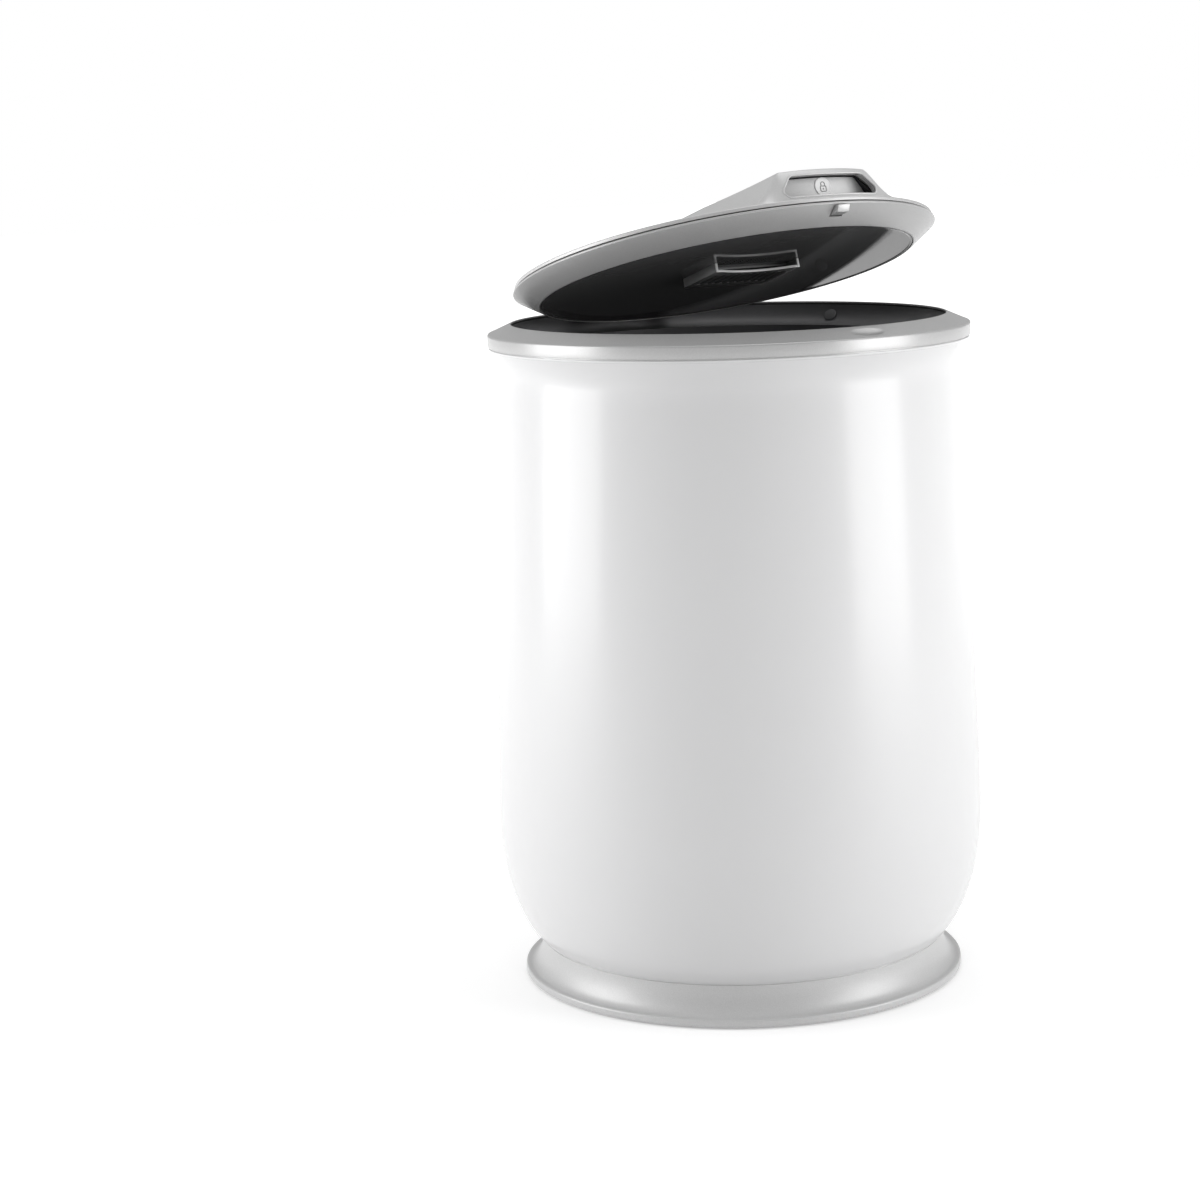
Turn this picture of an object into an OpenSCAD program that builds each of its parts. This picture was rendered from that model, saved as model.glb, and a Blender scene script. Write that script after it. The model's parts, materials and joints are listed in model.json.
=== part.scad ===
// Towel warmer bucket with a hinged lid, a latch in the lid's hood and a heated inner pot.
// Millimetres, +Z up, front towards -Y, hinge towards +Y, origin on the floor under the centre.
// The lid is described shut and then turned open by rest_open, the way it stands at rest.

/* [Body shell] */
// Widest radius of the body
belly_r = 164.2; // [150:0.1:180]
// Height of the widest place
belly_z = 112; // [100:1:125]
// How far the belly stands out from the round that starts at the waist
belly_depth = 46.3; // [44:0.1:48]
// Height of the lower round, down from the widest place
belly_drop = 95; // [93:0.5:100]
// How far the neck is drawn in from the widest radius
neck_in = 11.3; // [10:0.1:13]
// Height of the flare above the neck
flare_h = 20.6; // [18:0.1:24]
// How far the shell's top edge stands out from the neck
flare_w = 7.1; // [6:0.1:8]
// Height of the shell's top edge
shell_top = 429.6; // [400:0.1:460]
// Wall of the shell
shell_wall = 2.5; // [2:0.1:2.7]

/* [Base] */
// Height where the plinth ends and the body starts
waist_z = 26; // [24:0.5:32]
// How far the plinth's foot stands out from the waist
plinth_flare = 12; // [10:0.1:14]
// Height of the plinth's rim above the floor
rim_top = 6.4; // [5.5:0.1:8]
// Height of the rubber feet
foot_h = 1.5; // [1:0.1:2.5]
// Radius of a foot
foot_r = 9; // [7:0.5:11]
// How far the feet's middles are inside the plinth's edge
foot_in = 39.6; // [36:0.1:50]
// Wall of the plinth
plinth_wall = 2.5; // [2:0.1:3]
// Thickness of the base plate
plate_t = 2.2; // [1.8:0.1:2.3]

/* [Top ring] */
// How far the ring stands out over the shell's top edge
ring_over = 0.3; // [0.2:0.1:0.6]
// Width of the ring's top face
ring_w = 15.9; // [14:0.1:18]
// Height of the ring's crest above the shell's top edge
crest_h = 15.4; // [14:0.1:17]
// Drop of the ring's top face from the crest to the outer edge
ring_drop = 7; // [6:0.1:8]
// Height of the band's lower edge above the shell's top edge
band_gap = 0.8; // [0.6:0.1:1.2]
// Wall of the ring
ring_wall = 2.4; // [2:0.1:2.8]
// Length of the dimple in the front of the ring
dimple_w = 24; // [18:0.5:28]
// Width of the dimple across the ring
dimple_d = 9; // [7:0.5:10]
// Depth of the dimple
dimple_t = 1; // [0.6:0.1:1.2]
// How far the dimple is turned from the front, in degrees
dimple_turn = 1.9; // [0:0.1:3]

/* [Pot] */
// Width of the seat between the pot's wall and the ring's crest
seat_w = 15.4; // [14:0.1:18]
// Depth of the pot's floor below the shell's top edge
pot_depth = 381.6; // [340:0.1:383]
// Wall of the pot
pot_wall = 1.6; // [1.2:0.1:1.8]
// Rounding between floor and wall
pot_corner = 12; // [8:1:20]
// Height of the seat
seat_h = 13.2; // [12:0.1:14]
// Height of the rim gasket
gasket_h = 1.2; // [0.8:0.1:1.6]
// Wall of the heater band
heater_t = 1.4; // [1:0.1:2]
// Height of the heater band
heater_h = 240; // [150:5:280]
// Radius of the floor heater
plate_heater_r = 95; // [70:1:98]
// Thickness of the insulation sleeve
sleeve_t = 12; // [8:0.5:13]

/* [Lid] */
// How far the lid's seam is inside the ring's crest
lid_in = 4.1; // [3.8:0.1:5]
// How far the seam is below the ring's crest when the lid is shut
seam_drop = 0.5; // [0.3:0.1:0.8]
// How far the shoulder under the seam is inside the crest
shoulder_in = 2.4; // [2:0.1:3]
// Depth of the shoulder under the seam
shoulder_d = 3.2; // [2.8:0.1:3.6]
// Width of the bevel under the shoulder
bevel_w = 16; // [15:0.1:17]
// Depth of the bevel's lower edge under the seam
bevel_d = 14; // [13.5:0.1:14.4]
// Depth of the liner's ceiling under the seam
dish_d = 13.4; // [13:0.1:13.6]
// Width of the liner's rounded edge
dish_w = 3; // [2.4:0.1:4]
// Wall of the liner
liner_t = 1.6; // [1.3:0.1:1.8]
// Wall of the cover
cover_t = 3; // [2.6:0.1:3.2]
// Rise of the dome from its edge to the centre
dome_rise = 8.6; // [7.6:0.1:9.2]
// Height of the cover's edge above the seam
edge_h = 1.7; // [1.6:0.1:2]
// How far the lid stands open at rest, in degrees
rest_open = 16; // [0:1:30]

/* [Hood] */
// Height of the hood over the dome, at its front
hood_h = 19.4; // [18.4:0.1:20]
// Half of the flat top's width at the front
hood_half = 32; // [31:0.5:34]
// Width of the flank at the front
hood_flank = 18; // [16:0.5:20]
// How far the end of the hood's top is inside the seam, at the front
hood_in = 11.3; // [10:0.1:12]
// Where the hood starts to rise behind, from the lid's centre
hood_back = -15; // [-30:1:-5]
// Half of the window's width at its lower edge
window_low = 39.5; // [38:0.5:40]
// Half of the window's width at its upper edge
window_high = 27; // [25:0.5:28]
// Height of the window's lower edge above the seam
window_z = 3.4; // [3.4:0.1:3.8]
// Height of the window
window_h = 14.9; // [14:0.1:15.1]

/* [Hinge] */
// Distance of the hinge axis behind the ring's crest
hinge_out = 1.6; // [1.4:0.1:2.6]
// Height of the hinge axis over the ring's crest
hinge_up = 5; // [4.8:0.1:6]
// Radius of the hinge pin
pin_r = 2; // [1.8:0.1:2.2]
// Outer radius of a knuckle
knuckle_r = 4.4; // [4:0.1:4.4]
// Half of the fixed knuckle's length
fixed_half = 26; // [20:1:28]
// Half of the whole hinge's width
leaf_half = 41; // [38:1:42]
// Clearance between pin and lid knuckle
pin_fit = 0.06; // [0.02:0.01:0.1]

/* [Latch] */
// Width of the latch bolt
bolt_w = 8.5; // [8:0.5:12]
// Height of the bolt's nose
bolt_h = 4.2; // [4:0.1:5]
// Depth of the nose's upper face under the seam
bolt_d = 4.6; // [4.4:0.1:4.8]
// How far the nose's end is inside the ring's crest
bolt_short = 0.5; // [0.4:0.1:0.7]
// Travel of the release paddle
latch_travel = 4; // [3:0.5:4.5]
// How far the paddle is inside the end of the hood's top
paddle_in = 4; // [3:0.5:5]
// Thickness of the paddle
paddle_t = 2.5; // [2:0.1:3]
// Radius of the badge on the paddle
badge_r = 6; // [5:0.1:6.3]
// Wire of the latch springs
spring_wire = 0.8; // [0.6:0.1:1]
// Radius of the latch springs at the middle of the wire
spring_r = 2.6; // [2.3:0.1:2.8]
// Turns of each latch spring
spring_turns = 6; // [5:1:7]

/* [Fragrance holder] */
// Half of the holder's width
holder_half = 32.5; // [28:0.5:36]
// Where the holder's slot is, in front of the lid's centre
holder_front = 38; // [34:0.5:42]
// Length of the holder, back from its slot
holder_len = 43; // [38:0.5:44]
// Height of the holder
holder_h = 5.9; // [5.4:0.1:7]
// How far the slot's edge is drawn in at its middle
holder_sag = 6; // [4:0.5:8]
// Wall of the holder
holder_t = 1.5; // [1.4:0.1:1.8]
// Slats in the holder's floor
slats = 10; // [6:1:12]

/* [Controls] */
// Width of the control panel
panel_w = 48; // [46:1:52]
// Length of the control panel
panel_l = 46; // [44:1:48]
// Distance of the panel's middle behind the end of the hood's top
panel_in = 37; // [35:0.5:40]
// Distance between keys
key_pitch = 12.5; // [12:0.1:12.6]
// Width of a key
key_w = 10; // [8:0.5:10.5]
// Length of a key
key_l = 7; // [6:0.5:8]
// Travel of a key
key_travel = 0.8; // [0.4:0.1:0.9]

/* [Hidden] */
$fn = 96;

// Clearances shared by many pieces
gap = 0.3;
snug = 0.05;
slide = 0.5;

// Screws
screw_r = 1.4;
screw_head_r = 2.9;
screw_head_h = 1.5;

// Radii that follow from the widest one
waist_t = asin((belly_z - waist_z) / belly_drop);
waist_r = belly_r - belly_depth * (1 - cos(waist_t));
plinth_r = waist_r + plinth_flare;
foot_place = plinth_r - foot_in;
neck_r = belly_r - neck_in;
lip_r = neck_r + flare_w;
ring_r = lip_r + ring_over;
crest_r = ring_r - ring_w;
pot_r = crest_r - seat_w;
lid_r = crest_r - lid_in;
shoulder_r = crest_r - shoulder_in;
bevel_r = shoulder_r - bevel_w;
dish_r = bevel_r - dish_w;
hood_front = lid_r - hood_in;
paddle_r = hood_front - paddle_in;
bolt_reach = crest_r - bolt_short;
panel_at = hood_front - panel_in;
hinge_y = crest_r + hinge_out;

// Heights that follow from the shell's top edge
neck_z = shell_top - flare_h;
band_z = shell_top + band_gap;
crest_z = shell_top + crest_h;
seam_z = crest_z - seam_drop;
hinge_z = crest_z + hinge_up;
pot_floor = shell_top - pot_depth;
heater_low = pot_floor + 42;
window_top = window_z + window_h;

// Heights in the base
plate_top = foot_h + plate_t;
pot_under = pot_floor - pot_wall;
flange_t = 2.5;
flange_w = 17.6;
flange_in = waist_r - flange_w;
base_screw_place = waist_r - 9.6;
boss_r = 4.5;
board_z = plate_top + 8;
board_t = 1.6;
heater_plate_t = 2;
gland_r = 4.9;
gland_flange_r = 6.9;
gland_l = 10;
gland_z = 14.5;
gland_face = waist_r + 5.4;
cord_r = 3.2;
board_w = 108;
board_l = 68;
post_x = 48;
post_y = 28;

// The ring's top face falls steadily from the crest
crest_land = 0.6;
ring_fillet = 1.6;
ring_slope = ring_drop / (ring_r - crest_r);
ring_tilt = atan(ring_slope);
function ring_face(r) = crest_z - (r - crest_r - crest_land) * ring_slope;

// The skirt hangs inside the neck and hooks under a bead there
lip_t = 1.2;
seat_r = crest_r;
seat_outer = seat_r + pot_wall;
skirt_in = seat_outer + 0.4;
skirt_out = skirt_in + ring_wall;
skirt_low = neck_z - 7;
pot_rim = crest_z - lip_t - gasket_h;
ledge_z = pot_rim - seat_h;
function seat_at(t) = [pot_r + seat_w * sin(t), ledge_z + seat_h * (1 - cos(t))];
function seat_back(t) = [
    pot_r + pot_wall + seat_w * sin(t),
    ledge_z - pot_wall + (seat_h + pot_wall) * (1 - cos(t))
];

// The sensor cap sits square to the seat
sensor_t = 55;
sensor_side = 26;
sensor_r = 4.5;
sensor_up = 0.85;
sensor_tilt = atan2(seat_h * sin(sensor_t), seat_w * cos(sensor_t));

// Body shell outline, as [radius, height]
function belly(t, inset) = [
    belly_r - belly_depth + (belly_depth - inset) * cos(t),
    belly_z - (belly_drop - inset) * sin(t)
];
function taper(z, inset) = [
    belly_r - inset - (belly_r - neck_r) * pow((z - belly_z) / (neck_z - belly_z), 1.3),
    z
];
flare_t = 2 * atan(flare_w / flare_h);
flare_r = flare_h / sin(flare_t);

// Lid shapes, with u across, v towards the front and w up from the seam
wall_foot = lid_r - 1.5;
dome_radius = (pow(wall_foot, 2) + pow(dome_rise, 2)) / (2 * dome_rise);
function dome(r) = edge_h + dome_rise - r * r / (2 * dome_radius);
function soft_step(x) = x <= 0 ? 0 : x >= 1 ? 1 : x * x * (3 - 2 * x);
function hood_run(v) = min(1, max(0, (v - hood_back) / (hood_front - 1 - hood_back)));
function hood_rise(v) = hood_h * pow(hood_run(v), 0.85) * soft_step(hood_run(v) / 0.55);
function hood_top(v) = hood_half + 70 * pow(1 - hood_run(v), 2.2);
function hood_side(v) = hood_flank + 20 * (1 - hood_run(v));
function hood_share(x) = x <= 0 ? 1 : x >= 1 ? 0 : pow(1 - pow(x, 1.5), 1.8);
function hood_wall(x) = x <= 0 ? 1 : x >= 1 ? 0 : 1 - pow(x, 1.7);

// Height of the cover at azimuth a and radius r, drawn in by inset
function cover_w(a, r, inset) =
    let (cap = hood_front - inset)
    let (rr = min(r, cap))
    let (u = abs(rr * sin(a)))
    let (v = rr * cos(a))
    let (share = hood_share((u - hood_top(v) + inset) / hood_side(v)))
    let (wall = hood_wall((r - cap) / (wall_foot - hood_front)))
    dome(r) - inset + hood_rise(v) * share * wall;

// Azimuths from the front: close together over the hood's flanks
half_turn = concat(
    [for (a = [0 : 4 : 8]) a],
    [for (a = [12 : 1.5 : 27]) a],
    [for (a = [30 : 4 : 50]) a],
    [for (a = [56 : 8 : 168]) a]
);
around = concat(half_turn, [180], [for (i = [len(half_turn) - 1 : -1 : 1]) 360 - half_turn[i]]);
cover_rim = lid_r - 4.1;
cover_out = concat(
    [for (i = [1 : 8]) hood_front * i * 0.1085],
    [hood_front - 10, hood_front - 4, hood_front, hood_front + 1.5, hood_front + 3],
    [hood_front + 5, wall_foot - 2.4, wall_foot]
);
cover_in = concat(
    [for (k = [0.194, 0.388, 0.581, 0.736, 0.853]) hood_front * k],
    [hood_front - 10, hood_front - 3, hood_front - 1, hood_front + 2, wall_foot - 3]
);

// Lugs that hold the lid's ring to its cover, as angles from the front
lug_angles = [-140, -110, -70, -35, 35, 70, 110, 140];
lug_place = cover_rim - 6.2;
lug_screw_r = 1.2;

// Hinge bracket
pocket_half = leaf_half + 3;
pocket_y = skirt_out + 0.5;
pocket_z = crest_z - 8;
bracket_t = 4;
hinge_screw_x = 30;
hinge_screw_y = ring_r - 8.1;
hinge_screw_r = 1.1;
hinge_head_r = 2.2;
leaf_front = lid_r - 13.7;
leaf_back = lid_r - 0.9;
leaf_top = 4.6;
ring_top_w = -1.8;
cover_low_w = ring_top_w + 0.8;
leaf_bolts = [for (x = [-34, -12, 12, 34]) [x, leaf_front + 4.4]];

// Latch
bolt_edge = 0.8;
bolt_lean = 0.65;
strike_gap = 1.2;
strike_up = 0.35;
bolt_tail_w = -3.6;
bolt_tail_t = 2.4;
guide_t = 1.4;
guide_roof = 0.6;
guide_back = paddle_r - 25;
guide_front_v = hood_front - 17;
leg_v = paddle_r - 8;
leg_l = 6;
badge_w = 11.8;
paddle_screw_u = 2.4;
paddle_screw_r = 0.9;
holder_screw_x = 20;
spring_u = 21;
spring_w = 8.4;
rail_h = 9.6;

// Panel frame: the local origin is on the hood's top at panel_at
panel_tilt = -2.6;
panel_up = 0.6;
panel_t = 2.4;
panel_corner = 6;
board_drop = 7;
board_screw_x = 21.5;
board_screw_y = 12;
board_screw_r = 0.9;
well_w = 38;
well_l = 36;
key_row = -13;
lens_row = 9;
lens_w = 28;
lens_l = 12;

module turned_open() {
    translate([0, hinge_y, hinge_z])
        rotate([-rest_open, 0, 0])
            translate([0, -hinge_y, -hinge_z])
                children();
}

// Places children given as u, -v and w in the shut lid, and turns them open
module in_lid() {
    turned_open()
        translate([0, 0, seam_z])
            children();
}

// Places children on the hood's top, facing up, in the shut lid's own frame
module hood_frame() {
    translate([0, -panel_at, cover_w(0, panel_at, 0)])
        rotate([panel_tilt, 0, 0])
            children();
}

module on_hood() {
    in_lid()
        hood_frame()
            children();
}

// Places children at the panel board's four screws
module at_board_screws() {
    for (x = [-board_screw_x, board_screw_x])
        for (y = [-board_screw_y, board_screw_y])
            translate([x, y, 0])
                children();
}

// Revolves an outline given as [radius, height] points
module turned(outline) {
    rotate_extrude()
        polygon(outline);
}

// Copies children round the axis, n times, starting at angle first
module round_axis(n, first) {
    for (k = [0 : n - 1])
        rotate([0, 0, first + k * 360 / n])
            children();
}

// Places children at the screws that hold the base plate
module at_base_screws() {
    round_axis(6, 0)
        translate([base_screw_place, 0, 0])
            children();
}

// Places children at the screws that hold the shell to the plinth
module at_shell_screws() {
    round_axis(6, 30)
        translate([base_screw_place, 0, 0])
            children();
}

// Places children at the power board's posts
module at_posts() {
    for (x = [-post_x, post_x])
        for (y = [-post_y, post_y])
            translate([x, y, 0])
                children();
}

// A rod from height low to high
module rod(r, low, high) {
    translate([0, 0, low])
        cylinder(r = r, h = high - low);
}

// A tapered rod from height low to high
module rod_cone(r_low, r_high, low, high) {
    translate([0, 0, low])
        cylinder(r1 = r_low, r2 = r_high, h = high - low);
}

// A block with its corners rounded in plan
module plate(w, l, h, corner) {
    linear_extrude(height = h)
        polygon([
            for (q = [0 : 3])
                for (t = [0 : 15 : 90])
                    let (sx = q == 0 || q == 3 ? 1 : -1)
                    let (sy = q < 2 ? 1 : -1)
                    [
                        sx * (w / 2 - corner) + corner * cos(q * 90 + t),
                        sy * (l / 2 - corner) + corner * sin(q * 90 + t)
                    ]
        ]);
}

// Pushes an outline given as [v, w] points across the lid, from u = from to u = to
module across(outline, from, to) {
    translate([to, 0, 0])
        rotate([0, -90, 0])
            linear_extrude(height = to - from)
                polygon([for (p = outline) [p[1], -p[0]]]);
}

// Pushes an outline given as [y, z] points along x, from x = from to x = to
module along_x(outline, from, to) {
    translate([to, 0, 0])
        rotate([0, -90, 0])
            linear_extrude(height = to - from)
                polygon([for (p = outline) [p[1], p[0]]]);
}

// A rod along x between two places
module rod_x(r, from, to) {
    translate([from, 0, 0])
        rotate([0, 90, 0])
            cylinder(r = r, h = to - from);
}

// The window's outline in u and w, grown by grow, with corners of radius c
function window_outline(grow, c) =
    let (lean = (window_low - window_high) / (window_top - window_z))
    let (low = window_z - grow)
    let (high = window_top + grow)
    let (side = atan(lean))
    let (half_low = window_low + grow / cos(side) + grow * lean)
    let (half_high = window_high + grow / cos(side) - grow * lean)
    concat(
        [for (t = [-90 : 15 : side])
            [half_low - c * (1 + sin(side)) / cos(side) + c * cos(t), low + c + c * sin(t)]],
        [for (t = [side : 15 : 90])
            [half_high - c * (1 - sin(side)) / cos(side) + c * cos(t), high - c + c * sin(t)]],
        [for (t = [90 : 15 : 180 - side])
            [-half_high + c * (1 - sin(side)) / cos(side) + c * cos(t), high - c + c * sin(t)]],
        [for (t = [180 - side : 15 : 270])
            [-half_low + c * (1 + sin(side)) / cos(side) + c * cos(t), low + c + c * sin(t)]]
    );

// The window as a prism from v = near to v = far
module window_prism(grow, near, far, c) {
    translate([0, -near, 0])
        rotate([90, 0, 0])
            linear_extrude(height = far - near)
                polygon(window_outline(grow, c));
}

module foot_pads() {
    color([0.12, 0.12, 0.13])
        round_axis(4, 45)
            translate([foot_place, 0, 0]) {
                cylinder(r1 = foot_r - 0.5, r2 = foot_r, h = foot_h);
                rod(foot_r / 2, foot_h - 0.01, foot_h + plate_t - 1);
            }
}

module base_plinth() {
    cove_w = plinth_r - 3.1 - waist_r;
    cove_h = waist_z - rim_top;
    cove_t = 90 - asin(flange_t / (cove_h + plinth_wall));
    color([0.72, 0.73, 0.74])
        difference() {
            union() {
                turned(concat(
                    [[plinth_r, foot_h], [plinth_r, rim_top - 1.2]],
                    [[plinth_r - 0.4, rim_top - 0.4], [plinth_r - 1.2, rim_top]],
                    [for (t = [0 : 15 : 90])
                        [waist_r + cove_w * (1 - sin(t)), waist_z - cove_h * cos(t)]],
                    [[flange_in, waist_z], [flange_in, waist_z - flange_t]],
                    [for (i = [0 : 5])
                        let (t = cove_t * (1 - i / 5))
                        [
                            waist_r + cove_w - (cove_w + plinth_wall) * sin(t),
                            waist_z - (cove_h + plinth_wall) * cos(t)
                        ]],
                    [[plinth_r - plinth_wall, rim_top - plinth_wall]],
                    [[plinth_r - plinth_wall, foot_h]]
                ));
                at_base_screws()
                    rod(boss_r, plate_top, waist_z - flange_t + 0.01);
                translate([0, gland_face, gland_z])
                    rotate([90, 0, 0])
                        cylinder(r = gland_flange_r + 1.1, h = gland_l);
            }
            at_base_screws()
                rod(screw_r + snug, plate_top - 1, waist_z - flange_t - 2);
            at_shell_screws()
                rod(screw_r + snug, waist_z - flange_t - 1, waist_z + 1);
            translate([0, gland_face + 3, gland_z])
                rotate([90, 0, 0])
                    cylinder(r = gland_r + snug, h = gland_l + 6);
            translate([0, gland_face + 6, gland_z])
                rotate([90, 0, 0])
                    cylinder(r = gland_flange_r + gap, h = 6);
        }
}

module cord_gland() {
    color([0.15, 0.15, 0.16])
        translate([0, gland_face, gland_z])
            rotate([90, 0, 0])
                difference() {
                    union() {
                        cylinder(r = gland_r, h = gland_l + 0.01);
                        translate([0, 0, -2])
                            cylinder(r = gland_flange_r, h = 2.01);
                        translate([0, 0, gland_l])
                            cylinder(r = gland_r + 1.2, h = 1.8);
                    }
                    translate([0, 0, -3])
                        cylinder(r = cord_r, h = gland_l + 6);
                }
}

module base_plate() {
    color([0.5, 0.51, 0.52])
        difference() {
            rod(plinth_r - plinth_wall - gap, foot_h, plate_top);
            at_base_screws() {
                rod(screw_r + 0.2, foot_h - 1, plate_top + 1);
                rod(screw_head_r + 0.2, foot_h - 1, foot_h + screw_head_h + 0.1);
            }
            round_axis(4, 45)
                translate([foot_place, 0, 0])
                    rod(foot_r / 2 + snug, foot_h - 1, foot_h + plate_t - 1);
        }
}

// One screw pointing up, its head's underside at height z
module screw(z, length) {
    rod(screw_head_r, z - screw_head_h, z);
    rod(screw_r, z - 0.01, z + length);
}

module base_screws() {
    color([0.6, 0.6, 0.62])
        at_base_screws()
            screw(foot_h + screw_head_h + 0.1, 14);
}

module shell_screws() {
    color([0.6, 0.6, 0.62])
        at_shell_screws()
            screw(waist_z - flange_t, 11);
}

module board_posts() {
    color([0.85, 0.85, 0.82])
        at_posts()
            difference() {
                rod(3.5, plate_top, board_z);
                rod(screw_r + snug, plate_top + 1.5, board_z + 1);
            }
}

module power_board() {
    color([0.1, 0.35, 0.2])
        difference() {
            union() {
                translate([-board_w / 2, -board_l / 2, board_z])
                    cube([board_w, board_l, board_t]);
                translate([-40, -20, board_z + board_t - 0.01])
                    cube([30, 26, 18]);
                translate([5, -22, board_z + board_t - 0.01])
                    cube([20, 16, 14]);
                translate([38, 8, board_z + board_t - 0.01])
                    cylinder(r = 6, h = 16);
                translate([18, 14, board_z + board_t - 0.01])
                    cylinder(r = 5, h = 12);
                translate([-46, 16, board_z + board_t - 0.01])
                    cube([24, 9, 9]);
            }
            at_posts()
                rod(screw_r + 0.2, board_z - 1, board_z + board_t + 1);
        }
}

module board_screws() {
    color([0.6, 0.6, 0.62])
        at_posts() {
            rod(screw_head_r, board_z + board_t, board_z + board_t + screw_head_h);
            rod(screw_r, board_z - 6, board_z + board_t + 0.01);
        }
}

module pot_support() {
    ring_half = 5;
    ring_mid = pot_r - pot_corner - ring_half - 5;
    ring_h = 6;
    color([0.78, 0.76, 0.7])
        union() {
            turned([
                [ring_mid - ring_half, pot_under - ring_h],
                [ring_mid + ring_half, pot_under - ring_h],
                [ring_mid + ring_half, pot_under],
                [ring_mid - ring_half, pot_under]
            ]);
            round_axis(4, 0)
                translate([ring_mid, 0, 0])
                    rod(ring_half, plate_top, pot_under - ring_h + 0.01);
        }
}

module heater_plate() {
    color([0.75, 0.74, 0.72])
        rod(plate_heater_r, pot_under - heater_plate_t, pot_under);
}

module thermostat() {
    color([0.2, 0.2, 0.22])
        translate([30, 0, 0]) {
            rod(8, pot_under - heater_plate_t - 6, pot_under - heater_plate_t);
            translate([-6, -1, pot_under - heater_plate_t - 11])
                cube([1.5, 2, 5.01]);
            translate([4.5, -1, pot_under - heater_plate_t - 11])
                cube([1.5, 2, 5.01]);
        }
}

module thermal_fuse() {
    fuse_r = 2.5;
    color([0.85, 0.8, 0.7])
        translate([0, -30, pot_under - heater_plate_t - fuse_r])
            rod_x(fuse_r, -11, 11);
}

module heater_band() {
    color([0.8, 0.5, 0.2])
        difference() {
            rod(pot_r + pot_wall + snug + heater_t, heater_low, heater_low + heater_h);
            rod(pot_r + pot_wall + snug, heater_low - 1, heater_low + heater_h + 1);
        }
}

module insulation_sleeve() {
    inner = pot_r + pot_wall + heater_t + 2 * snug;
    color([0.9, 0.9, 0.86])
        difference() {
            rod(inner + sleeve_t, pot_floor + 14, skirt_low - 5);
            rod(inner, pot_floor + 13, skirt_low - 4);
        }
}

// Opening in the seat for the bolt's nose, and the lip over it that the nose hooks under
module strike_cut() {
    translate([-bolt_w / 2 - strike_gap, -seat_outer - 2, seam_z - bolt_d - bolt_h + 0.8])
        cube([bolt_w + 2 * strike_gap, 9, bolt_h - 0.8 + strike_up]);
}

module strike_lip() {
    translate([-bolt_w / 2 - strike_gap, -crest_r - 0.8, seam_z - bolt_d + strike_up])
        cube([bolt_w + 2 * strike_gap, 2.8, 1.9]);
}

// Places children on the seat at the sensor, facing out of it
module on_seat() {
    rotate([0, 0, sensor_side])
        translate([seat_at(sensor_t)[0], 0, seat_at(sensor_t)[1]])
            rotate([0, -sensor_tilt, 0])
                children();
}

module inner_pot() {
    color([0.2, 0.2, 0.21])
        difference() {
            turned(concat(
                [[0, pot_under], [pot_r - pot_corner, pot_under]],
                [for (t = [15 : 15 : 75])
                    [
                        pot_r - pot_corner + (pot_corner + pot_wall) * sin(t),
                        pot_floor + pot_corner - (pot_corner + pot_wall) * cos(t)
                    ]],
                [[pot_r + pot_wall, pot_floor + pot_corner]],
                [for (t = [0 : 10 : 90]) seat_back(t)],
                [for (t = [90 : -10 : 0]) seat_at(t)],
                [[pot_r, pot_floor + pot_corner]],
                [for (t = [75 : -15 : 15])
                    [
                        pot_r - pot_corner + pot_corner * sin(t),
                        pot_floor + pot_corner - pot_corner * cos(t)
                    ]],
                [[pot_r - pot_corner, pot_floor], [0, pot_floor]]
            ));
            strike_cut();
            on_seat()
                rod(sensor_r - 1.5 + snug, -6, 3);
        }
    color([0.2, 0.2, 0.21])
        strike_lip();
}

module pot_gasket() {
    color([0.13, 0.13, 0.14])
        difference() {
            rod(seat_outer + 0.2, pot_rim, pot_rim + gasket_h);
            rod(seat_r + 0.2, pot_rim - 1, pot_rim + gasket_h + 1);
        }
}

module seat_sensor() {
    color([0.28, 0.28, 0.3])
        on_seat() {
            rod(sensor_r, sensor_up, sensor_up + 0.6);
            rod(sensor_r - 1.5, -3.2, sensor_up + 0.01);
        }
}

module outer_shell() {
    bead_r = skirt_out + 0.5;
    inner_neck = neck_r - shell_wall;
    color([0.95, 0.95, 0.95])
        difference() {
            union() {
                turned(concat(
                    [for (i = [0 : 8]) belly(waist_t * (1 - i / 8), 0)],
                    [for (i = [1 : 8]) taper(belly_z + (neck_z - belly_z) * i / 8, 0)],
                    [for (i = [1 : 5])
                        let (t = flare_t * i / 5)
                        [neck_r + flare_r * (1 - cos(t)), neck_z + flare_r * sin(t)]],
                    [[lip_r - shell_wall, shell_top]],
                    [for (i = [4 : -1 : 1])
                        let (t = flare_t * i / 5)
                        [
                            neck_r - shell_wall * cos(t) + flare_r * (1 - cos(t)),
                            neck_z + flare_r * sin(t) + shell_wall * sin(t) / 2
                        ]],
                    [[inner_neck, neck_z], [bead_r, neck_z - 1], [bead_r, neck_z - 3.5]],
                    [[inner_neck, neck_z - 5]],
                    [for (i = [7 : -1 : 0]) taper(belly_z + (neck_z - belly_z) * i / 8, shell_wall)],
                    [for (i = [1 : 7]) belly(waist_t * i / 8, shell_wall)],
                    [[waist_r - 1, waist_z + flange_t], [flange_in, waist_z + flange_t]],
                    [[flange_in, waist_z]]
                ));
                at_shell_screws()
                    rod(boss_r, waist_z + flange_t - 0.01, waist_z + 13);
            }
            at_shell_screws()
                rod(screw_r + snug, waist_z - 1, waist_z + 11);
        }
}

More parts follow.
